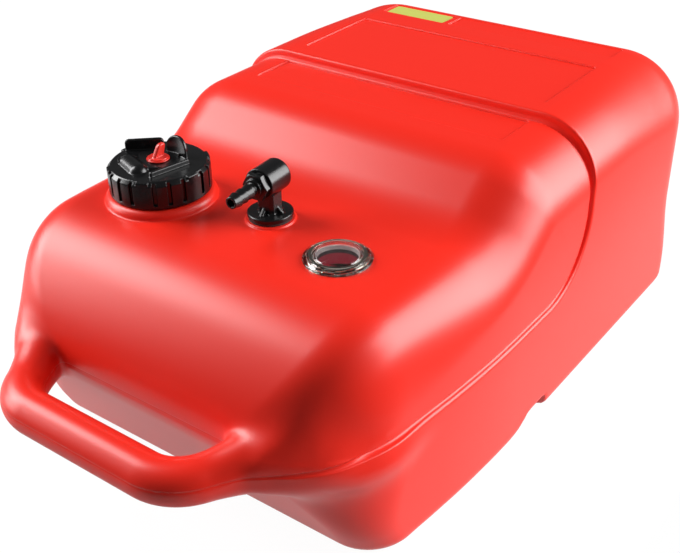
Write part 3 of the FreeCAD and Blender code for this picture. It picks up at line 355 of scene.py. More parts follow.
def round_join(a, b, radius):
    """Intersection of two shapes with its edge rounded."""
    outside = np.hypot(np.maximum(a + radius, 0), np.maximum(b + radius, 0))
    return np.minimum(np.maximum(a, b), -radius) + outside


def blend(a, b, width):
    """Union with a smooth hollow of the given width."""
    overlap = np.maximum(width - np.abs(a - b), 0) / width
    return np.minimum(a, b) - overlap ** 3 * width / 6


def carve(a, b, width):
    """Intersection with a smoothed edge."""
    return -blend(-a, -b, width)


def ease(value, low, high):
    """Smooth step from 0 to 1."""
    t = np.clip((value - low) / (high - low), 0, 1)
    return t * t * (3 - 2 * t)


def between(value, low, high):
    """Distance outside the range from low to high, negative inside."""
    return np.abs(value - (low + high) / 2) - (high - low) / 2


def cylinder(x, y, z, centre, radius, low, high, rounding):
    """Upright cylinder with rounded rims, its heights given above the centre."""
    side = np.hypot(x - centre.x, y - centre.y) - radius
    return round_join(side, between(z - centre.z, low, high), rounding)


def slab(x, y, low, high, rounding):
    """Upright prism over the rectangle between two (x, y) corners, with rounded corners."""
    return round_join(between(x, low[0], high[0]), between(y, low[1], high[1]), rounding)


# ---------------------------------------------------------------- shape of the tank
def side_outline(raised):
    """The body's side view, its ends produced below the floor, which cuts them later."""
    rear = BODY_LENGTH - STEP + raised
    return rounded_outline([
        (2 * FRONT_FOOT_Y, -PARTING_Z, 0),
        (rear, -PARTING_Z, 0),
        (rear, REAR_TOP_Z + raised, REAR_TOP_R),
        (REAR_FALL_Y, TOP_Z + raised, FALL_R),
        (SLOPE_END_Y, TOP_Z + raised, SLOPE_HEAD_R + raised),
        (SLOPE_START_Y, DECK_Z + raised, SLOPE_FOOT_R - raised),
        (FRONT_TOP_Y, DECK_Z + raised, FRONT_TOP_R),
        (0, PARTING_Z, PARTING_R),
    ])


def plan_outline():
    """The side walls in plan, open at both ends."""
    front_x = REAR_HALF_WIDTH - FRONT_TAPER * (TAPER_END_Y + REACH / 2) / TAPER_END_Y
    return rounded_outline([
        (-front_x, -REACH / 2, 0),
        (front_x, -REACH / 2, 0),
        (REAR_HALF_WIDTH, TAPER_END_Y, TAPER_BLEND_R),
        (REAR_HALF_WIDTH, REACH, 0),
        (-REAR_HALF_WIDTH, REACH, 0),
        (-REAR_HALF_WIDTH, TAPER_END_Y, TAPER_BLEND_R),
    ])


PROUD_SIDE = side_outline(STEP)
INSET_SIDE = side_outline(0)
PLAN = plan_outline()
LEDGE = rounded_outline([
    (-REACH, LEDGE_Z, 0), (LEDGE_Y, LEDGE_Z, LEDGE_CORNER_R), (LEDGE_Y, REACH, 0), (-REACH, REACH, 0),
])
CHANNEL = rounded_outline([
    (CHANNEL_START_Y - WALL * CHANNEL_RAMP / CHANNEL_DEPTH, -WALL, 0),
    (CHANNEL_END_Y + WALL * CHANNEL_WALL_RUN / CHANNEL_DEPTH, -WALL, 0),
    (CHANNEL_END_Y - CHANNEL_WALL_RUN, CHANNEL_DEPTH, CHANNEL_R),
    (CHANNEL_START_Y + CHANNEL_RAMP, CHANNEL_DEPTH, CHANNEL_R),
])


def edge_radius(y, z):
    """Rounding of the long edges, which differs round the front's and the rear's upright corners."""
    front = 1 - ease(y, *FRONT_EDGE_Y)
    rear = ease(y, *REAR_EDGE_Y)
    high = ease(z, PARTING_Z, DECK_Z)
    low = 1 - ease(z, FOOT_EDGE_Z, PARTING_Z)
    at_front = high * DECK_EDGE_R + low * FOOT_EDGE_R + (1 - high - low) * CORNER_EDGE_R
    at_rear = REAR_EDGE_R + low * (REAR_FOOT_EDGE_R - REAR_EDGE_R)
    return EDGE_R + front * (at_front - EDGE_R) + rear * (at_rear - EDGE_R)


def body_distance(x, y, z):
    """The stepped body, y from the front wall, with the offset from its groove and the groove's radius."""
    plan = outline_distance(PLAN, x, y)
    radius = edge_radius(y, z)
    proud = round_join(outline_distance(PROUD_SIDE, y, z), plan, radius)
    inset = round_join(outline_distance(INSET_SIDE, y, z), plan + SIDE_STEP, radius)
    ledge = outline_distance(LEDGE, y, z)
    groove_r = GROOVE_R * ease(inset - proud, 0, GROOVE_FADE)
    proud = carve(proud, -ledge, LEDGE_BLEND)
    body = blend(proud, inset, LEDGE_FOOT_BLEND)
    return round_join(body, -z, FLOOR_R), ledge + GROOVE_BACK, groove_r


def arm_frame(x, y):
    """Run past the end of the handle's bend, and offset from the handle's centre line, in plan."""
    across = np.abs(x) - GRIP_HALF_LENGTH
    forward = GRIP_R - GRIP_REACH + GRIP_BEND_R - y
    angle = np.clip(np.arctan2(across, forward), 0, ARM_HEADING)
    angle = np.where((across > 0) & (forward < 0), ARM_HEADING, angle)
    off_x = across - GRIP_BEND_R * np.sin(angle)
    off_y = GRIP_BEND_R * np.cos(angle) - forward
    run = np.where(angle >= ARM_HEADING, off_x * np.cos(angle) + off_y * np.sin(angle), 0)
    return run, off_y * np.cos(angle) - off_x * np.sin(angle)


def handle_distance(x, y, z):
    """Round grip whose arms grow taller towards the wall and flow outside into a rim round the corners."""
    run, offset = arm_frame(x, y)
    grown = ease(run, 0, ARM_GROWTH)
    half_width = GRIP_R + grown * (ARM_ROOT_HALF_WIDTH - GRIP_R)
    arm = round_join(np.abs(offset) - half_width, run - ARM_LENGTH, ARM_END_SHARE * ARM_ROOT_HALF_WIDTH)
    outer = ease(np.abs(x), *OUTER_X)
    corner = round_join(outline_distance(PLAN, x, y), -y, CORNER_EDGE_R)
    corner = corner + RIM_INSET + (1 - outer + ease(y, RIM_START_Y, RIM_END_Y)) * RIM_RETREAT
    rim = np.maximum(blend(arm, corner, INNER_BLEND + outer * (OUTER_BLEND - INNER_BLEND)), y - RIM_END_Y)
    beside = 1 - ease(arm, 0, RIM_FADE)
    top = RIM_TOP_Z + beside * (GRIP_Z + GRIP_R + grown * ARM_ROOT_RISE - RIM_TOP_Z)
    foot = GRIP_Z - GRIP_R - grown * ARM_ROOT_DROP
    half_height = (top - foot) / 2
    return round_join(rim, np.abs(z - (top + foot) / 2) - half_height, np.minimum(GRIP_R, half_height))


def panels_distance(x, y, z):
    """Shallow recesses in the top."""
    half_ridge = REAR_DIVIDER_WIDTH / 2
    fall = (TOP_Z - REAR_TOP_Z) / (BODY_LENGTH - REAR_FALL_Y)
    rear_z = TOP_Z + STEP - fall * (REAR_PANEL_Y[1] - REAR_FALL_Y)
    panels = REACH
    for left, right, (front_y, back_y), top_z in (
        (-PANEL_HALF_WIDTH, PANEL_HALF_WIDTH, FRONT_PANEL_Y, TOP_Z),
        (-PANEL_HALF_WIDTH, PANEL_HALF_WIDTH, MAIN_PANEL_Y, TOP_Z + STEP),
        (-PANEL_HALF_WIDTH, REAR_DIVIDER_X - half_ridge, REAR_PANEL_Y, rear_z),
        (REAR_DIVIDER_X + half_ridge, PANEL_HALF_WIDTH, REAR_PANEL_Y, rear_z),
    ):
        panel = slab(x, y, (left, front_y), (right, back_y), PANEL_R)
        panels = np.minimum(panels, np.maximum(panel, top_z - PANEL_DEPTH - z))
    return panels


def tank_distance(x, y, z):
    """The blow moulding with its fuel space and holes, in the frame's coordinates."""
    own_y = y - FRONT_Y
    body, groove_side, groove_r = body_distance(x, own_y, z)
    outer = ease(np.abs(x), *CORNER_X) * (1 - ease(own_y, *CORNER_Y))
    shape = blend(body, handle_distance(x, own_y, z), ROOT_BLEND + outer * (CORNER_BLEND - ROOT_BLEND))
    shape = carve(shape, groove_r - np.hypot(groove_side, shape), GROOVE_EDGE)
    shape = carve(shape, -outline_distance(CHANNEL, own_y, z), CHANNEL_EDGE)
    shape = carve(shape, -panels_distance(x, own_y, z), PANEL_EDGE)
    collar_away = np.hypot(x - FILLER.x, y - FILLER.y) - COLLAR_R + COLLAR_TUBE_R
    collar = np.hypot(collar_away, z - DECK_Z - COLLAR_RISE) - COLLAR_TUBE_R
    shape = blend(shape, collar, COLLAR_BLEND)
    shape = blend(shape, cylinder(x, y, z, OUTLET, BOSS_R, -WALL, BOSS_HEIGHT, BOSS_EDGE_R), BOSS_BLEND)
    hollow = np.maximum(body + WALL, -(outline_distance(CHANNEL, own_y, z) - WALL))
    shape = np.maximum(shape, -hollow)
    neck_middle_r = (NECK_R + NECK_BORE_R) / 2
    for centre, radius in ((FILLER, neck_middle_r), (OUTLET, SPIGOT_HOLE_R), (GAUGE, GAUGE_HOLE_R)):
        bore = np.hypot(x - centre.x, y - centre.y) - radius
        bore = np.maximum(bore, DECK_Z - HOLE_DEPTH - z)
        shape = carve(shape, -bore, HOLE_EDGE)
    return shape


def neck_distance(x, y, z):
    """Filler neck: a tube from the deck's wall up to the gasket."""
    neck = cylinder(x, y, z, FILLER, NECK_R, -WALL, NECK_HEIGHT, HOLE_EDGE)
    return carve(neck, NECK_BORE_R - np.hypot(x - FILLER.x, y - FILLER.y), HOLE_EDGE)


# ---------------------------------------------------------------- shapes of the fittings
def local(x, y, z, place, turn=0.0):
    """Coordinates from a place, along axes turned in plan."""
    off_x, off_y = x - place.x, y - place.y
    cos, sin = math.cos(turn), math.sin(turn)
    return off_x * cos + off_y * sin, off_y * cos - off_x * sin, z - place.z


def fold(angle, period):
    """The angle brought to within half a period of zero."""
    return angle - period * np.round(angle / period)


def standing_plate(u, v, w, start, end, height, corner_r, bow=0.0):
    """Plate standing on the cap's top between two offsets, its upper corners rounded."""
    along = Vector(end) - Vector(start)
    length = along.length
    middle = (Vector(start) + Vector(end)) / 2
    run = ((u - middle.x) * along.x + (v - middle.y) * along.y) / length
    across = ((v - middle.y) * along.x - (u - middle.x) * along.y) / length
    across = across - bow * (1 - (2 * run / length) ** 2)
    foot = -corner_r - FIN_T
    rise = w - CAP_TOP - (height + foot) / 2
    face = round_join(np.abs(run) - length / 2, np.abs(rise) - (height - foot) / 2, corner_r)
    plate = round_join(face, np.abs(across) - FIN_T / 2, FIN_EDGE_R)
    return np.maximum(plate, CAP_TOP - CAP_TOP_WALL / 2 - w)


def cap_grip(away, azimuth, w):
    """What the groups of grip slots and their bevelled rims leave of the skirt."""
    group = fold(azimuth - CAP_GROUP_AZIMUTH, math.tau / CAP_GROUPS)
    index = np.clip(np.round(group / CAP_SLOT_PITCH), -1, 1)
    slot = np.maximum(
        np.abs((group - index * CAP_SLOT_PITCH) * away) - CAP_SLOT_WIDTH / 2,
        CAP_R - CAP_SLOT_DEPTH - away,
    )
    slot = np.maximum(slot, CAP_FOOT + CAP_SLOT_FOOT - w)
    bevel = (away + w - CAP_R - CAP_TOP + CAP_CHAMFER) / math.sqrt(2)
    rim = np.maximum((np.abs(group) - CAP_GROUP_ANGLE / 2) * away, -bevel)
    return carve(-slot, -rim, CAP_SLOT_EDGE)


def thumb_lump(u, v, w):
    """Long low dome with a raised lip round its left end."""
    start, end = Vector(LUMP_START), Vector(LUMP_END)
    along = end - start
    share = np.clip(((u - start.x) * along.x + (v - start.y) * along.y) / along.length_squared, 0, 1)
    off_u, off_v = u - start.x - share * along.x, v - start.y - share * along.y
    rise = w - (CAP_TOP + LUMP_HEIGHT - LUMP_R)
    dome = np.sqrt(off_u ** 2 + off_v ** 2 + rise ** 2) - LUMP_R
    lip_away = np.hypot(u - start.x, v - start.y) - LUMP_R * LUMP_LIP_SHARE
    behind = (u - start.x) * along.x + (v - start.y) * along.y
    lip = np.hypot(lip_away, w - CAP_TOP - LUMP_LIP_RISE) - LUMP_LIP_R
    lip = np.maximum(lip, behind / along.length)
    return blend(dome, lip, LUMP_LIP_BLEND)


def cap_distance(x, y, z):
    """Screw cap: slotted skirt, plinth, two fins, a ridge and a thumb lump."""
    u, v, w = local(x, y, z, FILLER)
    away = np.hypot(u, v)
    shape = round_join(away - CAP_R, between(w, CAP_FOOT, CAP_TOP), CAP_EDGE_R)
    shape = carve(shape, cap_grip(away, np.arctan2(v, u), w), CAP_EDGE)
    turned_u, turned_v, _ = local(x, y, z, FILLER, PLINTH_AZIMUTH)
    pad = round_join(
        slab(turned_u, turned_v, (-PLINTH_HALF, -PLINTH_HALF), (PLINTH_HALF, PLINTH_HALF), PLINTH_R),
        between(w, CAP_TOP - PLINTH_HEIGHT, CAP_TOP + PLINTH_HEIGHT), PLINTH_EDGE_R,
    )
    shape = blend(shape, pad, PLINTH_BLEND)
    for plate in (PLATE_FIN, EAR_FIN, RIDGE):
        shape = blend(shape, standing_plate(u, v, w, *plate), FIN_BLEND)
    shape = blend(shape, thumb_lump(u, v, w), LUMP_BLEND)
    cavity = np.maximum(away - CAP_CAVITY_R, w - CAP_ROOF)
    stem_hole = away - VENT_STEM_R
    return carve(shape, -np.minimum(cavity, stem_hole), CAP_EDGE)


def vent_distance(x, y, z):
    """Vent screw: stem, stepped flange and a leaning, tapered paddle."""
    u, v, w = local(x, y, z, FILLER)
    away = np.hypot(u, v)
    w = w - VENT_FLANGE
    stem = round_join(away - VENT_STEM_R, between(w, -VENT_STEM_LENGTH, 0), VENT_EDGE_R)
    lower = round_join(away - VENT_FLANGE_R, between(w, 0, VENT_STEP), VENT_EDGE_R)
    upper = round_join(away - VENT_STEP_R, between(w, 0, VENT_FLANGE_T), VENT_EDGE_R)
    leaned = u - (w - VENT_FLANGE_T) * math.tan(VENT_LEAN)
    share = np.clip((w - VENT_FLANGE_T) / VENT_PADDLE_HEIGHT, 0, VENT_PADDLE_LIMIT)
    half_width = (VENT_PADDLE_WIDTH + share * (VENT_PADDLE_TOP_WIDTH - VENT_PADDLE_WIDTH)) / 2
    half_height = (VENT_PADDLE_HEIGHT + VENT_PADDLE_R) / 2
    rise = w - VENT_FLANGE_T - VENT_PADDLE_HEIGHT + half_height
    swept = v - share * VENT_PADDLE_SWEEP
    face = round_join(np.abs(swept) - half_width, np.abs(rise) - half_height, VENT_PADDLE_R)
    paddle = round_join(face, np.abs(leaned) - VENT_PADDLE_T / 2, VENT_PADDLE_EDGE_R)
    paddle = np.maximum(paddle, -w)
    shape = blend(np.minimum(stem, lower), upper, VENT_EDGE_R)
    return blend(shape, paddle, VENT_PADDLE_BLEND)


def outlet_distance(x, y, z):
    """Elbow: flange, square stem with two ribs, and the barrel."""
    u, v, w = local(x, y, z, OUTLET, BARREL_TURN)
    away = np.hypot(u, v)
    low, high = OUTLET_FLANGE, OUTLET_FLANGE + OUTLET_FLANGE_T
    flange = round_join(away - OUTLET_FLANGE_R, between(w, low, high), OUTLET_FLANGE_EDGE_R)
    half = STEM_SIZE / 2
    square = np.maximum(np.abs(u), np.abs(v)) - half
    corner = (np.abs(u) + np.abs(v) - STEM_SIZE + STEM_CHAMFER) / math.sqrt(2)
    stem = np.maximum(carve(square, corner, STEM_EDGE), between(w, low, BARREL_AXIS))
    shape = blend(flange, stem, STEM_BLEND)
    for along, across in ((u, v), (-v, u)):
        slope = (along - half - STEM_RIB_REACH) * STEM_RIB_HEIGHT + (w - high) * STEM_RIB_REACH
        slope = slope / math.hypot(STEM_RIB_HEIGHT, STEM_RIB_REACH)
        rib = round_join(np.maximum(slope, -along), np.abs(across) - STEM_RIB_T / 2, STEM_RIB_EDGE_R)
        shape = blend(shape, np.maximum(rib, low - w), STEM_RIB_BLEND)
    out, radial = -v, np.hypot(u, w - BARREL_AXIS)
    barrel = round_join(radial - BARREL_R, between(out, -BARREL_REAR, BARREL_FRONT), BARREL_EDGE_R)
    bevel = (radial - out - BARREL_R - BARREL_REAR + BARREL_CHAMFER) / math.sqrt(2)
    shape = blend(shape, carve(barrel, bevel, BARREL_EDGE), BARREL_BLEND)
    socket = np.maximum(radial - SOCKET_R, BARREL_FRONT - SOCKET_DEPTH - out)
    mouth = np.maximum(radial - BARB_RING_R, BARREL_FRONT - BARB_RING_T - out)
    shape = carve(shape, -np.minimum(socket, mouth), BORE_EDGE)
    spigot = np.maximum(away - SPIGOT_R, between(w, -SPIGOT_LENGTH, low))
    fuel_way = FUEL_WAY_R - np.where(w < BARREL_AXIS, away, REACH)
    return carve(np.minimum(shape, spigot), fuel_way, BORE_EDGE)


def barb_distance(x, y, z):
    """Hose barb: sleeve, hexagon, shoulder and ridged stem, with the bore."""
    u, v, w = local(x, y, z, OUTLET, BARREL_TURN)
    out, rise = -v - BARREL_FRONT, w - BARREL_AXIS
    radial = np.hypot(u, rise)
    slanted = np.abs(u) * math.cos(math.pi / 6) + np.abs(rise) / 2
    flats = np.maximum(np.abs(rise), slanted) - BARB_HEX_FLATS / 2
    hexagon = round_join(flats, between(out, 0, BARB_HEX_T), BARB_EDGE)
    turned_corner = (radial - BARB_HEX_FLATS / 2) / 2 + between(out, 0, BARB_HEX_T)
    hexagon = carve(hexagon, turned_corner * math.cos(math.pi / 6), BARB_EDGE)
    sleeve = np.maximum(radial - SOCKET_R, between(out, -SLEEVE_LENGTH, 0))
    shoulder_end = BARB_HEX_T + BARB_SHOULDER_T
    stem_end = shoulder_end + BARB_LENGTH
    shoulder = round_join(radial - BARB_SHOULDER_R, between(out, 0, shoulder_end), BARB_SHOULDER_EDGE_R)
    stem = round_join(radial - BARB_ROOT_R, between(out, 0, stem_end), BARB_TIP_EDGE)
    shape = blend(np.minimum(hexagon, sleeve), shoulder, BARB_SHOULDER_BLEND)
    shape = blend(shape, stem, BARB_STEM_BLEND)
    for index in range(BARB_RIDGES):
        start = stem_end - (BARB_RIDGES - index) * BARB_RIDGE_PITCH
        share = (out - start) / BARB_RIDGE_PITCH
        cone = radial - BARB_RIDGE_R + share * (BARB_RIDGE_R - BARB_TIP_R)
        ridge = round_join(cone, between(out, start, start + BARB_RIDGE_PITCH), BARB_EDGE)
        shape = blend(shape, ridge, BARB_EDGE)
    return carve(shape, BARB_BORE_R - radial, BARB_TIP_EDGE)


def gauge_ring_distance(x, y, z):
    """Castellated clamping ring."""
    u, v, w = local(x, y, z, GAUGE)
    away = np.hypot(u, v)
    ring = round_join(away - GAUGE_RING_R, between(w, 0, GAUGE_RING_HEIGHT), GAUGE_RING_EDGE_R)
    bevel_in, bevel_up = away - GAUGE_RING_R + GAUGE_BEVEL_RUN, w - GAUGE_RING_HEIGHT
    bevel = bevel_in * GAUGE_BEVEL_RISE + bevel_up * GAUGE_BEVEL_RUN
    ring = carve(ring, bevel / math.hypot(GAUGE_BEVEL_RUN, GAUGE_BEVEL_RISE), GAUGE_RING_EDGE)
    seat = np.maximum(away - GAUGE_SEAT_R, w - GAUGE_SEAT_HEIGHT)
    ring = carve(ring, GAUGE_LIP_R - away, GAUGE_RING_EDGE)
    ring = carve(ring, -seat, GAUGE_SEAT_EDGE)
    tooth = fold(np.arctan2(v, u) - GAUGE_NOTCH_AZIMUTH, math.tau / GAUGE_NOTCHES)
    notch = np.maximum((np.abs(tooth) - GAUGE_NOTCH_ANGLE / 2) * away, GAUGE_SEAT_R - away)
    notch = np.maximum(notch, GAUGE_RING_HEIGHT - GAUGE_NOTCH_DEPTH - w)
    return carve(ring, -notch, GAUGE_NOTCH_EDGE)


def lens_distance(x, y, z):
    """Clear dome on a thin flange."""
    u, v, w = local(x, y, z, GAUGE)
    away = np.hypot(u, v)
    skirt_top = LENS_FOOT + LENS_FLANGE_T + LENS_SKIRT
    ball_r = (LENS_R ** 2 + LENS_RISE ** 2) / (2 * LENS_RISE)
    ball = np.hypot(away, w - skirt_top - LENS_RISE + ball_r) - ball_r
    dome = np.maximum(round_join(away - LENS_R, ball, LENS_EDGE_R), LENS_FOOT - w)
    flange_side = between(w, LENS_FOOT, LENS_FOOT + LENS_FLANGE_T)
    flange = round_join(away - LENS_FLANGE_R, flange_side, LENS_FLANGE_EDGE_R)
    inside = round_join(away - LENS_R + LENS_WALL, ball + LENS_WALL, LENS_EDGE_R)
    return np.maximum(np.minimum(dome, flange), -inside)


# ---------------------------------------------------------------- meshes from distance functions
TANK_CELL = 3.0 * MM
NECK_CELL = 0.9 * MM
BAND_CELLS = 3                 # the field is kept this far from the surface
SLOPE_STEP = 0.05 * MM         # over which a slope is measured
LEAST_SLOPE_SQUARE = 0.2       # keeps a vertex from jumping where the slope fades
TINY = 1e-12                   # keeps a length from being zero
LEDGE_BAND = 20.0 * MM         # the ledge's line is refined as far as this past its end


def slopes(distance, points, values):
    """Slope of the distance at each point, from its value there and a step along each axis."""
    columns = []
    for axis in range(3):
        offset = np.zeros(3)
        offset[axis] = SLOPE_STEP
        columns.append((distance(*(points + offset).T) - values) / SLOPE_STEP)
    return np.stack(columns, axis=1)


def settle(distance, points, rounds=2, limit=1.0 * MM):
    """Moves the points onto the surface along its slope, by no more than the limit in each round."""
    for _ in range(rounds):
        values = distance(*points.T)
        slope = slopes(distance, points, values)
        square = np.maximum((slope ** 2).sum(axis=1), LEAST_SLOPE_SQUARE)
        step = slope * (values / square)[:, None]
        length = np.linalg.norm(step, axis=1, keepdims=True)
        points = points - step * np.minimum(1, limit / np.maximum(length, TINY))
    return points


def mesh_points(mesh):
    """The mesh's vertices as an array."""
    points = np.empty(len(mesh.vertices) * 3)
    mesh.vertices.foreach_get("co", points)
    return points.reshape(-1, 3)


def refine_mesh(mesh, distance, test, width):
    """Halves the edges that lie within a width of where the test is zero."""
    chosen = np.abs(test(*mesh_points(mesh).T)) < width
    work = bmesh.new()
    work.from_mesh(mesh)
    edges = [edge for edge in work.edges if all(chosen[vert.index] for vert in edge.verts)]
    bmesh.ops.subdivide_edges(work, edges=edges, cuts=1, use_grid_fill=True)
    work.to_mesh(mesh)
    work.free()
    points = mesh_points(mesh)
    chosen = np.abs(test(*points.T)) < 2 * width
    points[chosen] = settle(distance, points[chosen])
    mesh.vertices.foreach_set("co", points.ravel())


def field_mesh(name, distance, low, high, cell, refine=()):
    """Piece whose closed mesh follows a distance function, finer where each (test, width) asks."""
    axes = [np.arange(low[axis] - 2 * cell, high[axis] + 3 * cell, cell) for axis in range(3)]
    field = distance(axes[0][:, None, None], axes[1][None, :, None], axes[2][None, None, :])
    band = BAND_CELLS * cell
    field = np.clip(field, -band, band).astype(np.float32)
    grid = openvdb.FloatGrid(background=band)
    grid.copyFromArray(field, tolerance=0.0)
    points, quads = grid.convertToQuads(isovalue=0.0)
    origin = np.array([axis[0] for axis in axes])
    points = settle(distance, points.astype(np.float64) * cell + origin, limit=cell)
    mesh = bpy.data.meshes.new(name)
    mesh.from_pydata(points.tolist(), [], quads.tolist())
    for test, width in refine:
        refine_mesh(mesh, distance, test, width)
    mesh.update()
    points = mesh_points(mesh)
    normals = slopes(distance, points, distance(*points.T))
    normals /= np.maximum(np.linalg.norm(normals, axis=1, keepdims=True), TINY)
    mesh.shade_smooth()
    mesh.normals_split_custom_set_from_vertices(normals.tolist())
    piece = bpy.data.objects.new(name, mesh)
    bpy.context.scene.collection.objects.link(piece)
    return piece


def near(place, radius):
    """Distance test for a circle round a place on the deck."""
    return lambda x, y, z: np.hypot(np.hypot(x - place.x, y - place.y) - radius, z - DECK_Z)


def ledge_line(x, y, z):
    """Distance test for the ledge's line on the top and both sides."""
    return np.where(y - FRONT_Y < LEDGE_Y + LEDGE_BAND, outline_distance(LEDGE, y - FRONT_Y, z), REACH)


def panel_lines(x, y, z):
    """Distance test for the panels' edges."""
    panels = panels_distance(x, y - FRONT_Y, np.full_like(x, TOP_Z + 2 * STEP))
    return np.where(z > DECK_Z, panels, REACH)


def tank_piece():
    """The tank's shell, finer along the ledge, the panels' edges and round the fittings."""
    low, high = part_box("tank_shell")
    # each pair halves the edges near a line once, so most lines are refined in two steps
    collar_line = near(FILLER, COLLAR_R - COLLAR_TUBE_R)
    boss_line = near(OUTLET, BOSS_R)
    refine = [
        (ledge_line, 9 * MM), (ledge_line, 6 * MM), (panel_lines, 7 * MM), (panel_lines, 4 * MM),
        (collar_line, 12 * MM), (collar_line, 9 * MM), (boss_line, 8 * MM), (boss_line, 5 * MM),
        (near(GAUGE, GAUGE_HOLE_R), 7 * MM),
    ]
    return field_mesh("tank_body", tank_distance, low, high, TANK_CELL, refine)


def around(place, radius, low, high):
    """Box round an upright cylinder, its heights above the deck."""
    return place + Vector((-radius, -radius, low)), place + Vector((radius, radius, high))


def fitting(name, distance, node, cell):
    """Mesh of a fitting inside its CAD node's box."""
    low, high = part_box(node)
    return field_mesh(name, distance, low, high, cell)


# ---------------------------------------------------------------- materials
SHELL_GLOW = 0.16                  # light that passes the red shell
GLOW_COLOR = (1.0, 0.03, 0.08, 1)
GLOW_TOP_Z = DECK_Z - 3.0 * MM     # on the gauge's frame
GLOW_FADE = 0.6 * MM               # below that
DRUM_FADE = 10.0 * MM              # above the deck, on the level drum
RIM_FOOT_Z = DECK_Z - 1.0 * MM     # of the frame's pale rim; below it the frame is painted black as shade
RIM_EDGE = 0.3 * MM
# painted shade: the white frame is drawn black below its rim, where the inside of its tube lies in shade;
# FRAME_PALE is its own white, kept on the rim
FRAME_PAINTED_SHADE = (0.012, 0.012, 0.013)
FRAME_PALE = (0.8, 0.78, 0.76)
GLOW_ROUGHNESS = 0.5
GRAIN_DETAIL = 4
FINE_GRAIN = (800, 0.05, 0.0003)   # scale, strength and distance
CLEAR_IOR = 1.49


def shader(name, color, roughness, **sockets):
    """Principled material; returns it with its nodes, links and shader node."""
    material = bpy.data.materials.new(name)
    material.use_nodes = True
    principled = material.node_tree.nodes["Principled BSDF"]
    principled.inputs["Base Color"].default_value = (*color, 1)
    principled.inputs["Roughness"].default_value = roughness
    for socket, value in sockets.items():
        principled.inputs[socket.replace("_", " ")].default_value = value
    return material, material.node_tree.nodes, material.node_tree.links, principled


def moulded(name, color, roughness, grain=FINE_GRAIN, **sockets):
    """Material with a fine bump from noise in object space; grain is its scale, strength and distance."""
    material, nodes, links, principled = shader(name, color, roughness, **sockets)
    place = nodes.new("ShaderNodeTexCoord")
    noise = nodes.new("ShaderNodeTexNoise")
    bump = nodes.new("ShaderNodeBump")
    noise.inputs["Detail"].default_value = GRAIN_DETAIL
    noise.inputs["Scale"].default_value, strength, distance = grain
    bump.inputs["Strength"].default_value = strength
    bump.inputs["Distance"].default_value = distance
    links.new(place.outputs["Object"], noise.inputs["Vector"])
    links.new(noise.outputs["Fac"], bump.inputs["Height"])
    links.new(bump.outputs["Normal"], principled.inputs["Normal"])
    return material


def clear_plastic(name, tint, roughness):
    """Clear material, tinted."""
    return shader(name, tint, roughness, Transmission_Weight=1.0, IOR=CLEAR_IOR)[0]


def ramp(nodes, links, axis, span, values):
    """Output that runs between two values as a place's X, Y or Z crosses the span."""
    place = nodes.new("ShaderNodeNewGeometry")
    split = nodes.new("ShaderNodeSeparateXYZ")
    across = nodes.new("ShaderNodeMapRange")
    across.inputs["From Min"].default_value, across.inputs["From Max"].default_value = span
    across.inputs["To Min"].default_value, across.inputs["To Max"].default_value = values
    links.new(place.outputs["Position"], split.inputs["Vector"])
    links.new(split.outputs[axis], across.inputs["Value"])
    return across.outputs["Result"]


def lit_from_below(name, color, span, rim_color=None):
    """Dark plastic that glows, up to the span's end, with what light passes the shell; a rim may be pale,
    and then the dark below it is painted shade.
    """
    material, nodes, links, principled = shader(name, color, GLOW_ROUGHNESS, Emission_Color=GLOW_COLOR)
    links.new(ramp(nodes, links, "Z", span, (SHELL_GLOW, 0)), principled.inputs["Emission Strength"])
    if rim_color:
        # painted shade: with a pale rim, the dark colour below it stands for the shade inside the frame's
        # tube
        mix = nodes.new("ShaderNodeMix")
        mix.data_type = "RGBA"
        mix.inputs["A"].default_value = (*color, 1)
        mix.inputs["B"].default_value = (*rim_color, 1)
        rim = ramp(nodes, links, "Z", (RIM_FOOT_Z, RIM_FOOT_Z + RIM_EDGE), (0, 1))
        links.new(rim, mix.inputs["Factor"])
        links.new(mix.outputs["Result"], principled.inputs["Base Color"])
    return material


def dress(piece, material):
    """Gives the piece the material and no other."""
    piece.data.materials.clear()
    piece.data.materials.append(material)


def stand_for(piece, node, material, body=None):
    """The piece replaces the CAD node, on the body if one is given."""
    dress(piece, material)
    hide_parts(node)
    if body:
        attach(piece, body)


def spring_piece():
    """Copy of the valve's spring, which stands for the CAD node."""
    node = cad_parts["check_spring"]
    spring = bpy.data.objects.new("valve_spring", node.data.copy())
    bpy.context.scene.collection.objects.link(spring)
    spring.matrix_world = node.matrix_world
    stand_for(spring, "check_spring", STEEL)
    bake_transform(spring)


# ---------------------------------------------------------------- stage
WORLD_LIGHT = 0.06
WORLD_BOUNCE_SHARE = 0.05      # of white, in what gloss shows of the world
WORLD_GLASS_SHARE = 0.2        # and in what glass shows of it
FLOOR_BOUNCE_SHARE = 0.6       # the same for the floor
FLOOR_COLOR = (0.5, 0.5, 0.5)
FLOOR_ROUGHNESS = 0.6
FLOOR_DIM_Y = (-0.26, -0.21)   # in front of this gloss shows the floor without its white
FLOOR_VIEW_SHARE = 0.88        # the rest of the floor is shaded, so it keeps the tank's shadow
FLOOR_GLOW = 1.1
FLOOR_SIZE = 1.6
FLOOR_PLACE = (-0.53, 0.35, -0.0005)
LAMP_TARGET = Vector((0, 0, 0.12))
# azimuth clockwise from +Y and elevation, both in degrees, distance, size and radiance
LAMPS = {
    "rear_right": (54, 20, 1.7, (1.45, 1.55), 8.8),
    "front_left": (-110, 37, 1.7, (0.7, 1.1), 11.8),
    "front_left_low": (-121, 13, 1.75, (0.75, 0.9), 6.3),
}
CAMERA_PLACE = Vector((405.09 * MM, -330.06 * MM + FRONT_Y, 490.91 * MM))
CAMERA_AZIMUTH = math.radians(36.607)
CAMERA_ELEVATION = math.radians(31.849)
CAMERA_ROLL = math.radians(-0.988)
PHOTO_WIDTH = 680
FOCAL_PIXELS = 1054.66
CENTRE_SHIFT = (7.90, 6.41)    # of the optical centre from the picture's, in pixels, right and down
SENSOR_WIDTH = 36.0


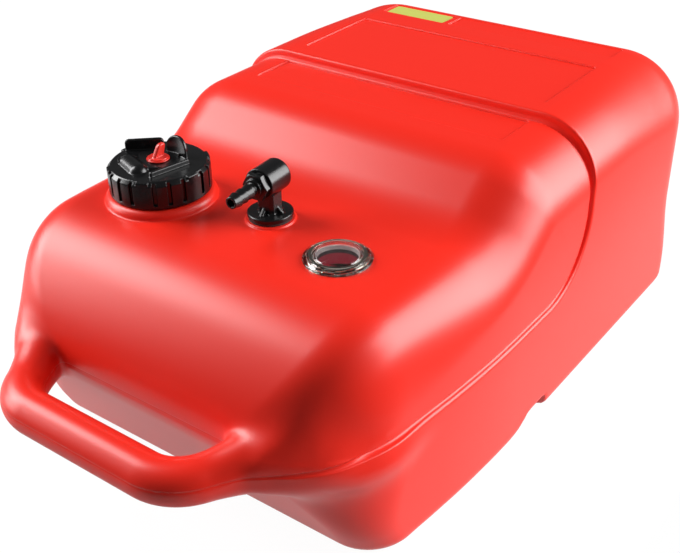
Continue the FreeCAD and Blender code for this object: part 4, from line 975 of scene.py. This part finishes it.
def white_to_view(tree, shader_socket, output_socket, shares, strength=1.0):
    """Shows white to each kind of ray by its share, and the given shader to all other rays."""
    nodes, links = tree.nodes, tree.links
    path = nodes.new("ShaderNodeLightPath")
    total = None
    for ray, share in shares.items():
        add = nodes.new("ShaderNodeMath")
        add.operation = "MULTIPLY_ADD"
        add.use_clamp = True
        links.new(path.outputs[ray], add.inputs[0])
        if isinstance(share, float):
            add.inputs[1].default_value = share
        else:
            links.new(share, add.inputs[1])
        add.inputs[2].default_value = 0
        if total:
            links.new(total, add.inputs[2])
        total = add.outputs["Value"]
    glow = nodes.new("ShaderNodeEmission")
    glow.inputs["Strength"].default_value = strength
    mix = nodes.new("ShaderNodeMixShader")
    links.new(total, mix.inputs["Fac"])
    links.new(shader_socket, mix.inputs[1])
    links.new(glow.outputs["Emission"], mix.inputs[2])
    links.new(mix.outputs["Shader"], output_socket)


def stage():
    """Pale floor and a dim world, both white behind the tank."""
    scene = bpy.context.scene
    scene.view_settings.view_transform = "Standard"
    bpy.ops.mesh.primitive_plane_add(size=FLOOR_SIZE, location=FLOOR_PLACE)
    floor = bpy.context.object
    floor.name = "floor"
    material, nodes, links, principled = shader("floor_white", FLOOR_COLOR, FLOOR_ROUGHNESS)
    floor.data.materials.append(material)
    gloss = ramp(nodes, links, "Y", FLOOR_DIM_Y, (0, FLOOR_BOUNCE_SHARE))
    surface = nodes["Material Output"].inputs["Surface"]
    white_to_view(material.node_tree, principled.outputs["BSDF"], surface, {
        "Is Camera Ray": FLOOR_VIEW_SHARE, "Is Transmission Ray": FLOOR_BOUNCE_SHARE, "Is Glossy Ray": gloss,
    }, FLOOR_GLOW)
    world = bpy.data.worlds.new("world")
    world.use_nodes = True
    tree = world.node_tree
    background = tree.nodes["Background"]
    background.inputs["Color"].default_value = (1, 1, 1, 1)
    background.inputs["Strength"].default_value = WORLD_LIGHT
    surface = tree.nodes["World Output"].inputs["Surface"]
    white_to_view(tree, background.outputs["Background"], surface, {
        "Is Camera Ray": 1.0, "Is Transmission Ray": WORLD_GLASS_SHARE, "Is Glossy Ray": WORLD_BOUNCE_SHARE,
    })
    scene.world = world


def lamp(name, azimuth, elevation, distance, size, radiance):
    """Soft rectangular lamp aimed at the tank."""
    light = bpy.data.lights.new(name, "AREA")
    light.shape = "RECTANGLE"
    light.size, light.size_y = size
    light.energy = radiance * math.pi * size[0] * size[1]
    heading, rise = math.radians(azimuth), math.radians(elevation)
    level = math.cos(rise)
    out = Vector((math.sin(heading) * level, math.cos(heading) * level, math.sin(rise)))
    lamp_object = bpy.data.objects.new(name, light)
    lamp_object.location = LAMP_TARGET + out * distance
    lamp_object.rotation_euler = (-out).to_track_quat("-Z", "Y").to_euler()
    bpy.context.scene.collection.objects.link(lamp_object)


def camera():
    """Camera at the photograph's viewpoint."""
    data = bpy.data.cameras.new("camera")
    data.sensor_width = SENSOR_WIDTH
    data.sensor_fit = "HORIZONTAL"
    data.lens = FOCAL_PIXELS * SENSOR_WIDTH / PHOTO_WIDTH
    data.shift_x = -CENTRE_SHIFT[0] / PHOTO_WIDTH
    data.shift_y = CENTRE_SHIFT[1] / PHOTO_WIDTH
    camera_object = bpy.data.objects.new("camera", data)
    camera_object.location = CAMERA_PLACE
    aim = Euler((math.pi / 2 - CAMERA_ELEVATION, 0, CAMERA_AZIMUTH)).to_matrix()
    camera_object.rotation_euler = (aim @ Matrix.Rotation(CAMERA_ROLL, 3, "Z")).to_euler()
    bpy.context.scene.collection.objects.link(camera_object)
    bpy.context.scene.camera = camera_object


# ---------------------------------------------------------------- build
RED = moulded("red_polyethylene", (0.87, 0.021, 0.009), 0.35, (900, 0.06, 0.0004))
BLACK = moulded("black_plastic", (0.005, 0.005, 0.0055), 0.25, (1500, 0.08, 0.0003))
KNOB = moulded("red_knob", (0.75, 0.03, 0.02), 0.3, (1200, 0.05, 0.0003))
CLEAR = clear_plastic("clear_lens", (1, 1, 1), 0.02)
AMBER = clear_plastic("clear_ring", (0.98, 0.95, 0.84), 0.05)
RUBBER = moulded("seal_rubber", (0.02, 0.02, 0.02), 0.6)
WHITE = moulded("white_plastic", (0.75, 0.75, 0.72), 0.4)
STEEL = moulded("steel", (0.55, 0.55, 0.55), 0.3, Metallic=1.0)
DRUM = lit_from_below("drum_red", (0.25, 0.01, 0.01), (DECK_Z, DECK_Z + DRUM_FADE))
# the gauge's white frame with painted shade: black below its pale rim, where its tube's inside is in shade
FRAME = lit_from_below("gauge_frame", FRAME_PAINTED_SHADE, (GLOW_TOP_Z - GLOW_FADE, GLOW_TOP_Z), FRAME_PALE)
FOAM = moulded("float_foam", (0.05, 0.05, 0.05), 0.8)
YELLOW = moulded("label_yellow", (0.55, 0.58, 0.12), 0.45)

for node, material in {
    "filler_cap": BLACK, "cap_gasket": RUBBER, "vent_screw": KNOB, "vent_o_ring": RUBBER,
    "vent_retainer": WHITE, "outlet_body": BLACK, "outlet_gasket": RUBBER, "valve_seat": WHITE,
    "check_ball": STEEL, "check_spring": STEEL, "hose_barb": BLACK, "barb_o_ring": RUBBER,
    "pickup_tube": WHITE, "pickup_strainer": WHITE, "gauge_gasket": RUBBER, "gauge_frame": FRAME,
    "gauge_pivot_pin": STEEL, "level_drum": DRUM, "float_arm": STEEL, "float_body": FOAM,
    "gauge_lens": CLEAR, "gauge_ring": AMBER, "rear_label": YELLOW,
}.items():
    dress(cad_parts[node], material)

stand_for(tank_piece(), "tank_shell", RED, "tank")
neck = field_mesh("filler_neck", neck_distance, *around(FILLER, NECK_R, -WALL, NECK_HEIGHT), NECK_CELL)
stand_for(neck, "tank_shell", RED, "tank")
for name, distance, node, body, slot, material, cell in (
    ("cap", cap_distance, "filler_cap", "cap", "fitting_black", BLACK, 0.6 * MM),
    ("vent_knob", vent_distance, "vent_screw", "vent", "vent_red", KNOB, 0.35 * MM),
    ("elbow", outlet_distance, "outlet_body", "tank", "fitting_black", BLACK, 0.5 * MM),
    ("barb", barb_distance, "hose_barb", "tank", "fitting_black", BLACK, 0.4 * MM),
    ("clamp_ring", gauge_ring_distance, "gauge_ring", "tank", "ring_clear", AMBER, 0.5 * MM),
    ("dome", lens_distance, "gauge_lens", "tank", "lens_clear", CLEAR, 0.5 * MM),
):
    stand_for(fitting(name, distance, node, cell), node, material, body)
spring_piece()

stage()
for name, settings in LAMPS.items():
    lamp(name, *settings)
camera()
